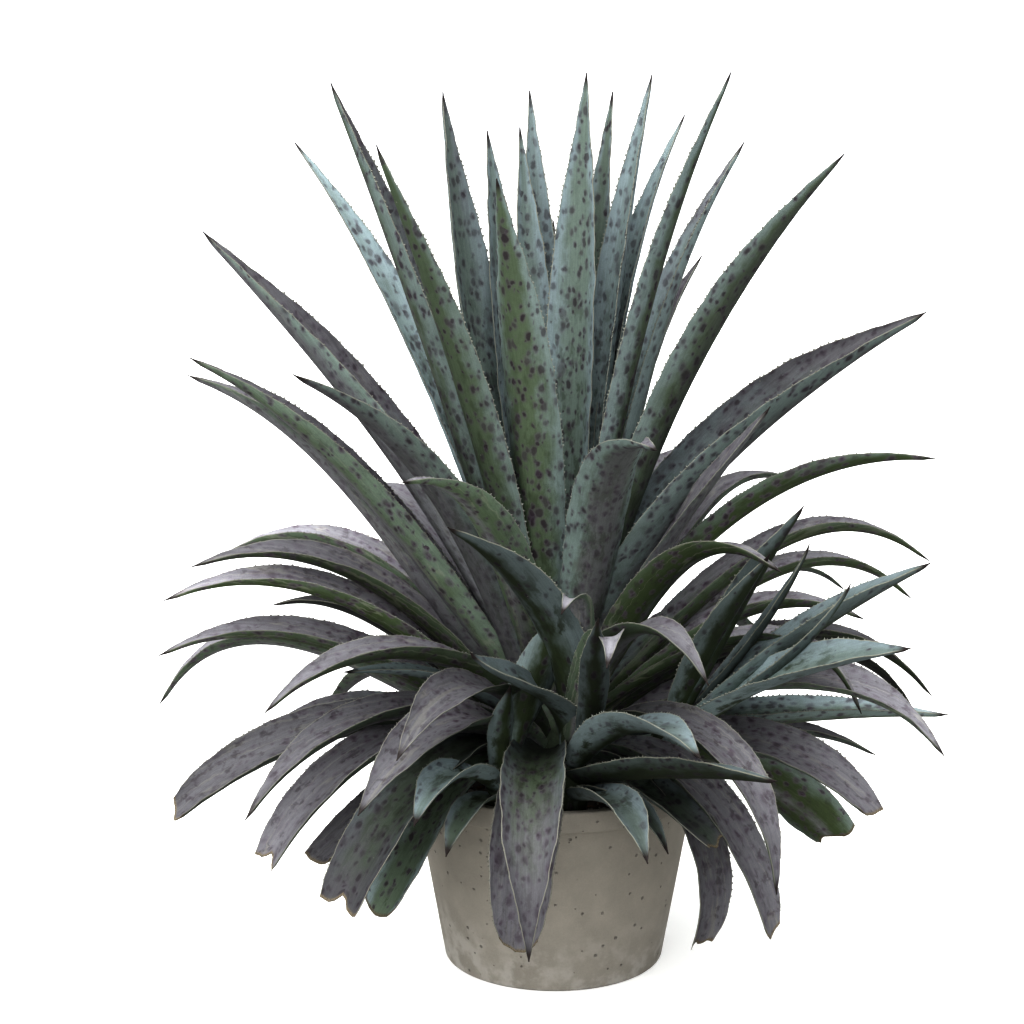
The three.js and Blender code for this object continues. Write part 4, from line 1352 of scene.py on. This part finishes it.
class MANGAVE_OT_pot(bpy.types.Operator):
    """Builds the pot: a tapered cement shell with a band at its rim and drain holes in its foot"""

    bl_idname = "mangave.pot"
    bl_label = "Pot"
    bl_options = {"REGISTER", "UNDO"}

    def execute(self, context):
        sizes = context.scene.mangave_pot
        height, foot = sizes.height, sizes.foot_radius
        side_top = sizes.rim_radius - sizes.band_proud
        band_foot = height - sizes.band
        clear_selection()
        bpy.ops.mesh.primitive_cylinder_add(
            vertices=96, radius=foot, depth=height, location=(0.0, 0.0, height / 2)
        )
        pot = begin("cement_pot")
        bpy.ops.object.transform_apply(location=True)
        bpy.ops.object.mode_set(mode="EDIT")
        select_where(pot, lambda face: face.calc_center_median().z > height - NEAR)
        scale_round(side_top / foot)
        for level in (band_foot, band_foot + BAND_STEP):
            bpy.ops.mesh.select_all(action="SELECT")
            bpy.ops.mesh.bisect(plane_co=(0.0, 0.0, level), plane_no=(0.0, 0.0, 1.0))
        # The band stands proud of the side from its foot up
        select_where(pot, lambda vert: vert.co.z > band_foot + NEAR, "verts")
        scale_round(sizes.rim_radius / side_top)
        flare = band_foot + BAND_STEP
        select_where(pot, lambda vert: abs(vert.co.z - flare) < NEAR, "verts")
        scale_round(BAND_FLARE)
        # The wall's inside, down to the floor
        select_where(pot, lambda face: face.calc_center_median().z > height - NEAR)
        bpy.ops.mesh.inset(thickness=sizes.wall)
        inside = sizes.rim_radius - sizes.wall
        floor_radius = foot + (side_top - foot) * sizes.floor / height - sizes.wall
        move_up(-LIP_DEPTH)
        scale_round((inside - LIP_STEP) / inside)
        move_up(sizes.floor + FLOOR_FILLET - (height - LIP_DEPTH))
        scale_round(floor_radius / (inside - LIP_STEP))
        move_up(-FLOOR_FILLET)
        scale_round((floor_radius - FLOOR_FILLET) / floor_radius)
        bpy.ops.object.mode_set(mode="OBJECT")
        apply_modifier(
            pot, "BEVEL", width=sizes.edge, segments=3, limit_method="ANGLE", angle_limit=math.radians(24)
        )
        holes = []
        for hole in range(DRAIN_HOLES):
            turn = math.radians(45 + 360 / DRAIN_HOLES * hole)
            place = (DRAIN_CIRCLE * math.cos(turn), DRAIN_CIRCLE * math.sin(turn), sizes.floor / 2)
            holes.append((place, DRAIN_RADIUS, 3 * sizes.floor, (0.0, 0.0, 0.0)))
        cut_with_cylinders(pot, holes)
        settle(pot)
        values = {"Base": tuple(sizes.cement), "Bloom": 0.55, "Pits": 0.8}
        pot.data.materials.clear()
        pot.data.materials.append(material_from("cast cement", cement_group(), values, 0.0006, 0.3))
        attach(pot, BODY)
        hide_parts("pot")
        return {"FINISHED"}


class MANGAVE_OT_soil(bpy.types.Operator):
    """Builds the potting mix: a rough mound with loose grit and bark, and a hole for each stem"""

    bl_idname = "mangave.soil"
    bl_label = "Soil"
    bl_options = {"REGISTER", "UNDO"}

    def execute(self, context):
        sizes = context.scene.mangave_pot
        top = SOIL_TOP * MM - SOIL_DOWN
        low = sizes.floor + SOIL_OFF_FLOOR
        floor_radius = sizes.foot_radius - sizes.wall - SOIL_OFF_WALL
        top_radius = sizes.rim_radius - sizes.wall - SOIL_OFF_WALL
        clear_selection()
        bpy.ops.mesh.primitive_cylinder_add(
            vertices=96, radius=floor_radius, depth=top - low, location=(0.0, 0.0, (top + low) / 2)
        )
        soil = begin("potting_mix")
        bpy.ops.object.transform_apply(location=True)
        bpy.ops.object.mode_set(mode="EDIT")
        select_where(soil, lambda face: face.calc_center_median().z > top - NEAR)
        scale_round(top_radius / floor_radius)
        for _ in range(SOIL_RINGS):
            bpy.ops.mesh.inset(thickness=SOIL_RING)
        bpy.ops.object.mode_set(mode="OBJECT")
        for vertex in soil.data.vertices:
            if vertex.co.z > top - NEAR:
                vertex.co.z += self.surface(vertex.co, top_radius)
        settle(soil)
        holes = [((0.0, 0.0, 0.2), (STEM_LOW_RADIUS + 0.4) * MM, 0.1, (0.0, 0.0, 0.0))]
        for offset in OFFSETS:
            lean = Vector(offset.top) - Vector((*offset.foot, STEM_FOOT))
            turn = lean.to_track_quat("Z", "Y").to_euler()
            middle = (Vector((*offset.foot, STEM_FOOT)) + lean * 0.5) * MM
            holes.append((tuple(middle), OFFSET_HOLE, lean.length * MM, tuple(turn)))
        cut_with_cylinders(soil, holes)
        self.add_grit(soil, top, top_radius, holes)
        soil.data.materials.clear()
        soil.data.materials.append(soil_material())
        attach(soil, BODY)
        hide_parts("soil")
        return {"FINISHED"}

    @staticmethod
    def surface(place, reach):
        """How far the soil stands above its edge: a low mound and lumps of two sizes."""
        out = math.hypot(place.x, place.y) / reach
        mound = SOIL_MOUND * (1 - out * out)
        lump = noise.noise(Vector((place.x, place.y, 0.0)) * 70) * SOIL_LUMP
        crumb = noise.noise(Vector((place.x, place.y, 3.0)) * 260) * SOIL_CRUMB
        return mound + (lump + crumb) * (1 - out**8)

    @classmethod
    def add_grit(cls, soil, top, reach, holes):
        """Loose stones and bark on the surface, with a tone that the material reads."""
        rng = np.random.default_rng(GRIT_SEED)
        shape = bmesh.new()
        shape.from_mesh(soil.data)
        layer = shape.verts.layers.float_vector.new("grain_tone")
        for _ in range(GRAINS):
            turn, out = rng.uniform(0, 2 * math.pi), reach * 0.975 * math.sqrt(rng.random())
            place = Vector((out * math.cos(turn), out * math.sin(turn), 0.0))
            if any((place.xy - Vector(hole[0]).xy).length < hole[1] + 0.004 for hole in holes):
                continue
            stone = rng.random() < STONE_SHARE
            size = rng.uniform(*GRAIN_SIZES)
            place.z = top + cls.surface(place, reach) + size * 0.25
            flat = 0.75 if stone else 0.35
            spin = Matrix.Rotation(rng.uniform(0, 6.28), 4, "Z")
            spin = spin @ Matrix.Rotation(rng.uniform(-0.5, 0.5), 4, "X")
            wide = rng.uniform(0.7, 1.5 if stone else 2.4)
            scale = Matrix.Diagonal((size * wide, size, size * flat, 1.0))
            made = bmesh.ops.create_icosphere(
                shape, subdivisions=1, radius=1.0, matrix=Matrix.Translation(place) @ spin @ scale
            )
            for vertex in made["verts"]:
                vertex.co += Vector(rng.uniform(-0.12, 0.12, 3)) * size
                vertex[layer] = Vector((1.0, 1.0 if stone else 0.0, 0.0))
        shape.to_mesh(soil.data)
        shape.free()


class MANGAVE_OT_crown(bpy.types.Operator):
    """Builds the stem with the youngest leaves and the leaves at the back, as one piece"""

    bl_idname = "mangave.crown"
    bl_label = "Crown"
    bl_options = {"REGISTER", "UNDO"}

    def execute(self, context):
        shape = Shape()
        profile = (
            (STEM_LOW_RADIUS, 0),
            (STEM_LOW_RADIUS, STEM_LEAF_START - STEM_FOOT),
            (STEM_TOP_RADIUS, STEM_TOP - STEM_FOOT),
            (BUD_RADIUS, BUD_TOP - STEM_FOOT - 3),
            (BUD_RADIUS * 0.4, BUD_TOP - STEM_FOOT),
        )
        add_stem(shape, profile, (0.0, 0.0, STEM_FOOT), (0.0, 0.0, BUD_TOP), (0.2, 0.3, 0.8))
        for order, blade in enumerate(HEART + BACK):
            add_blade(shape, leaf_root(blade), blade, CROWN_SEED + order)
        add_piece("crown_leaves", shape.mesh("crown_leaves"), young_finish(), "leaf_upright", "crown")
        return {"FINISHED"}


def young_finish():
    return leaf_material("young leaf", "outside", spots=0.8, blotches=0.5, mottle=0.55, wax=0.8)


class MANGAVE_OT_leaves(bpy.types.Operator):
    """Builds the long leaves of the main rosette, each as its own piece, in three tiers"""

    bl_idname = "mangave.leaves"
    bl_label = "Long leaves"
    bl_options = {"REGISTER", "UNDO"}

    def execute(self, context):
        first = 1
        build_leaves(UPRIGHT, first, "leaf_upright", young_finish())
        first += len(UPRIGHT)
        finish = leaf_material("spreading leaf", "back", spots=0.65, blotches=0.7, mottle=0.6, wax=0.5)
        build_leaves(SPREADING, first, "leaf_spreading", finish)
        first += len(SPREADING)
        finish = leaf_material("hanging leaf", "back", spots=0.65, blotches=0.9, mottle=0.8, wax=0.4)
        build_leaves(HANGING, first, "leaf_hanging", finish)
        return {"FINISHED"}


class MANGAVE_OT_offsets(bpy.types.Operator):
    """Builds the young plants round the foot of the main rosette"""

    bl_idname = "mangave.offsets"
    bl_label = "Offsets"
    bl_options = {"REGISTER", "UNDO"}

    def execute(self, context):
        finish = leaf_material("offset leaf", "back", spots=0.3, blotches=0.6, mottle=1.0, wax=0.9)
        for order, offset in enumerate(OFFSETS, start=1):
            shape = Shape()
            foot = (*offset.foot, STEM_FOOT)
            long = math.dist(foot, offset.top)
            profile = (
                (OFFSET_FOOT_RADIUS, 0),
                (OFFSET_BULB_RADIUS - 2, long - OFFSET_BULB_BELOW - 14),
                (OFFSET_BULB_RADIUS, long - OFFSET_BULB_BELOW),
                (OFFSET_BULB_RADIUS - 3, long - OFFSET_BULB_BELOW + 18),
                (OFFSET_TOP_RADIUS, long + OFFSET_TOP_RADIUS - 2),
                (OFFSET_TOP_RADIUS * 0.5, long + OFFSET_TOP_RADIUS),
            )
            add_stem(shape, profile, foot, offset.top, (0.1, 0.3, 0.7))
            for leaf_order, blade in enumerate(offset.leaves):
                add_blade(shape, offset_root(offset, blade), blade, OFFSET_SEED * order + leaf_order)
            name = f"young_plant_{order}"
            add_piece(name, shape.mesh(name), finish, "leaf_offset", f"offset_{order}")
        return {"FINISHED"}


class MANGAVE_OT_stage(bpy.types.Operator):
    """Builds the pale floor, the soft light and the camera"""

    bl_idname = "mangave.stage"
    bl_label = "Stage"
    bl_options = {"REGISTER", "UNDO"}

    def execute(self, context):
        chosen = context.scene.mangave_stage
        clear_selection()
        bpy.ops.mesh.primitive_plane_add(size=14.0, location=(0.0, 0.0, 0.0))
        floor = begin("floor")
        material = bpy.data.materials.new("floor")
        material.use_nodes = True
        shader = material.node_tree.nodes["Principled BSDF"]
        graph = Graph(material.node_tree)
        seen = graph.node("ShaderNodeLightPath").outputs["Is Camera Ray"]
        base = graph.blend(seen, (0.3, 0.3, 0.29), tuple(chosen.floor_colour))
        glow = graph.blend(seen, (0.0, 0.0, 0.0), (0.2, 0.2, 0.2))
        graph.feed(shader.inputs["Base Color"], base)
        graph.feed(shader.inputs["Emission Color"], glow)
        shader.inputs["Emission Strength"].default_value = 1.0
        shader.inputs["Roughness"].default_value = 0.9
        shader.inputs["Specular IOR Level"].default_value = 0.1
        floor.data.materials.append(material)

        world = bpy.data.worlds.new("soft sky")
        world.use_nodes = True
        sky = world.node_tree.nodes["Background"]
        sky.inputs["Color"].default_value = (0.97, 0.985, 1.0, 1.0)
        graph = Graph(world.node_tree)
        seen = graph.node("ShaderNodeLightPath").outputs["Is Camera Ray"]
        graph.feed(sky.inputs["Strength"], graph.math("MULTIPLY_ADD", seen, 0.45, 0.7))
        context.scene.world = world

        target = Vector(chosen.target)
        for name, toward, spread, strength in (
            ("top light", (-0.25, -0.35, 1.0), 80.0, 2.6),
            ("front light", (-0.5, -1.0, 0.45), 60.0, 0.5),
        ):
            data = bpy.data.lights.new(name, "SUN")
            data.angle = math.radians(spread)
            data.energy = strength
            light = bpy.data.objects.new(name, data)
            light.rotation_euler = Vector(toward).to_track_quat("Z", "Y").to_euler()
            context.scene.collection.objects.link(light)

        data = bpy.data.cameras.new("camera")
        data.lens = chosen.lens
        data.sensor_width = 36.0
        camera = bpy.data.objects.new("camera", data)
        back = Vector((0.0, -math.cos(chosen.elevation), math.sin(chosen.elevation)))
        camera.location = target + back * chosen.distance
        camera.rotation_euler = (-back).to_track_quat("-Z", "Y").to_euler()
        context.scene.collection.objects.link(camera)
        context.scene.camera = camera
        view = context.scene.view_settings
        view.view_transform = "Standard"
        view.exposure = chosen.exposure
        view.gamma = chosen.gamma
        return {"FINISHED"}


class MANGAVE_PT_panel(bpy.types.Panel):
    """Lists the pieces of the plant with their sizes and colours"""

    bl_idname = "MANGAVE_PT_panel"
    bl_label = "Mangave"
    bl_space_type = "VIEW_3D"
    bl_region_type = "UI"
    bl_category = "Mangave"

    def draw(self, context):
        layout = self.layout
        for group in (context.scene.mangave_pot, context.scene.mangave_leaf, context.scene.mangave_stage):
            box = layout.box()
            for name in group.__annotations__:
                box.prop(group, name)
        for operator in PIECES:
            layout.operator(operator.bl_idname)


PIECES = (
    MANGAVE_OT_pot,
    MANGAVE_OT_soil,
    MANGAVE_OT_crown,
    MANGAVE_OT_leaves,
    MANGAVE_OT_offsets,
    MANGAVE_OT_stage,
)
SETTINGS = (PotSettings, LeafSettings, StageSettings)


def register():
    for part in (*SETTINGS, *PIECES, MANGAVE_PT_panel):
        bpy.utils.register_class(part)
    bpy.types.Scene.mangave_pot = bpy.props.PointerProperty(type=PotSettings)
    bpy.types.Scene.mangave_leaf = bpy.props.PointerProperty(type=LeafSettings)
    bpy.types.Scene.mangave_stage = bpy.props.PointerProperty(type=StageSettings)


def unregister():
    for name in ("mangave_pot", "mangave_leaf", "mangave_stage"):
        delattr(bpy.types.Scene, name)
    for part in reversed((*SETTINGS, *PIECES, MANGAVE_PT_panel)):
        bpy.utils.unregister_class(part)


def main():
    register()
    bpy.ops.mangave.pot()
    bpy.ops.mangave.soil()
    bpy.ops.mangave.crown()
    bpy.ops.mangave.leaves()
    bpy.ops.mangave.offsets()
    bpy.ops.mangave.stage()


if __name__ == "__main__":
    main()
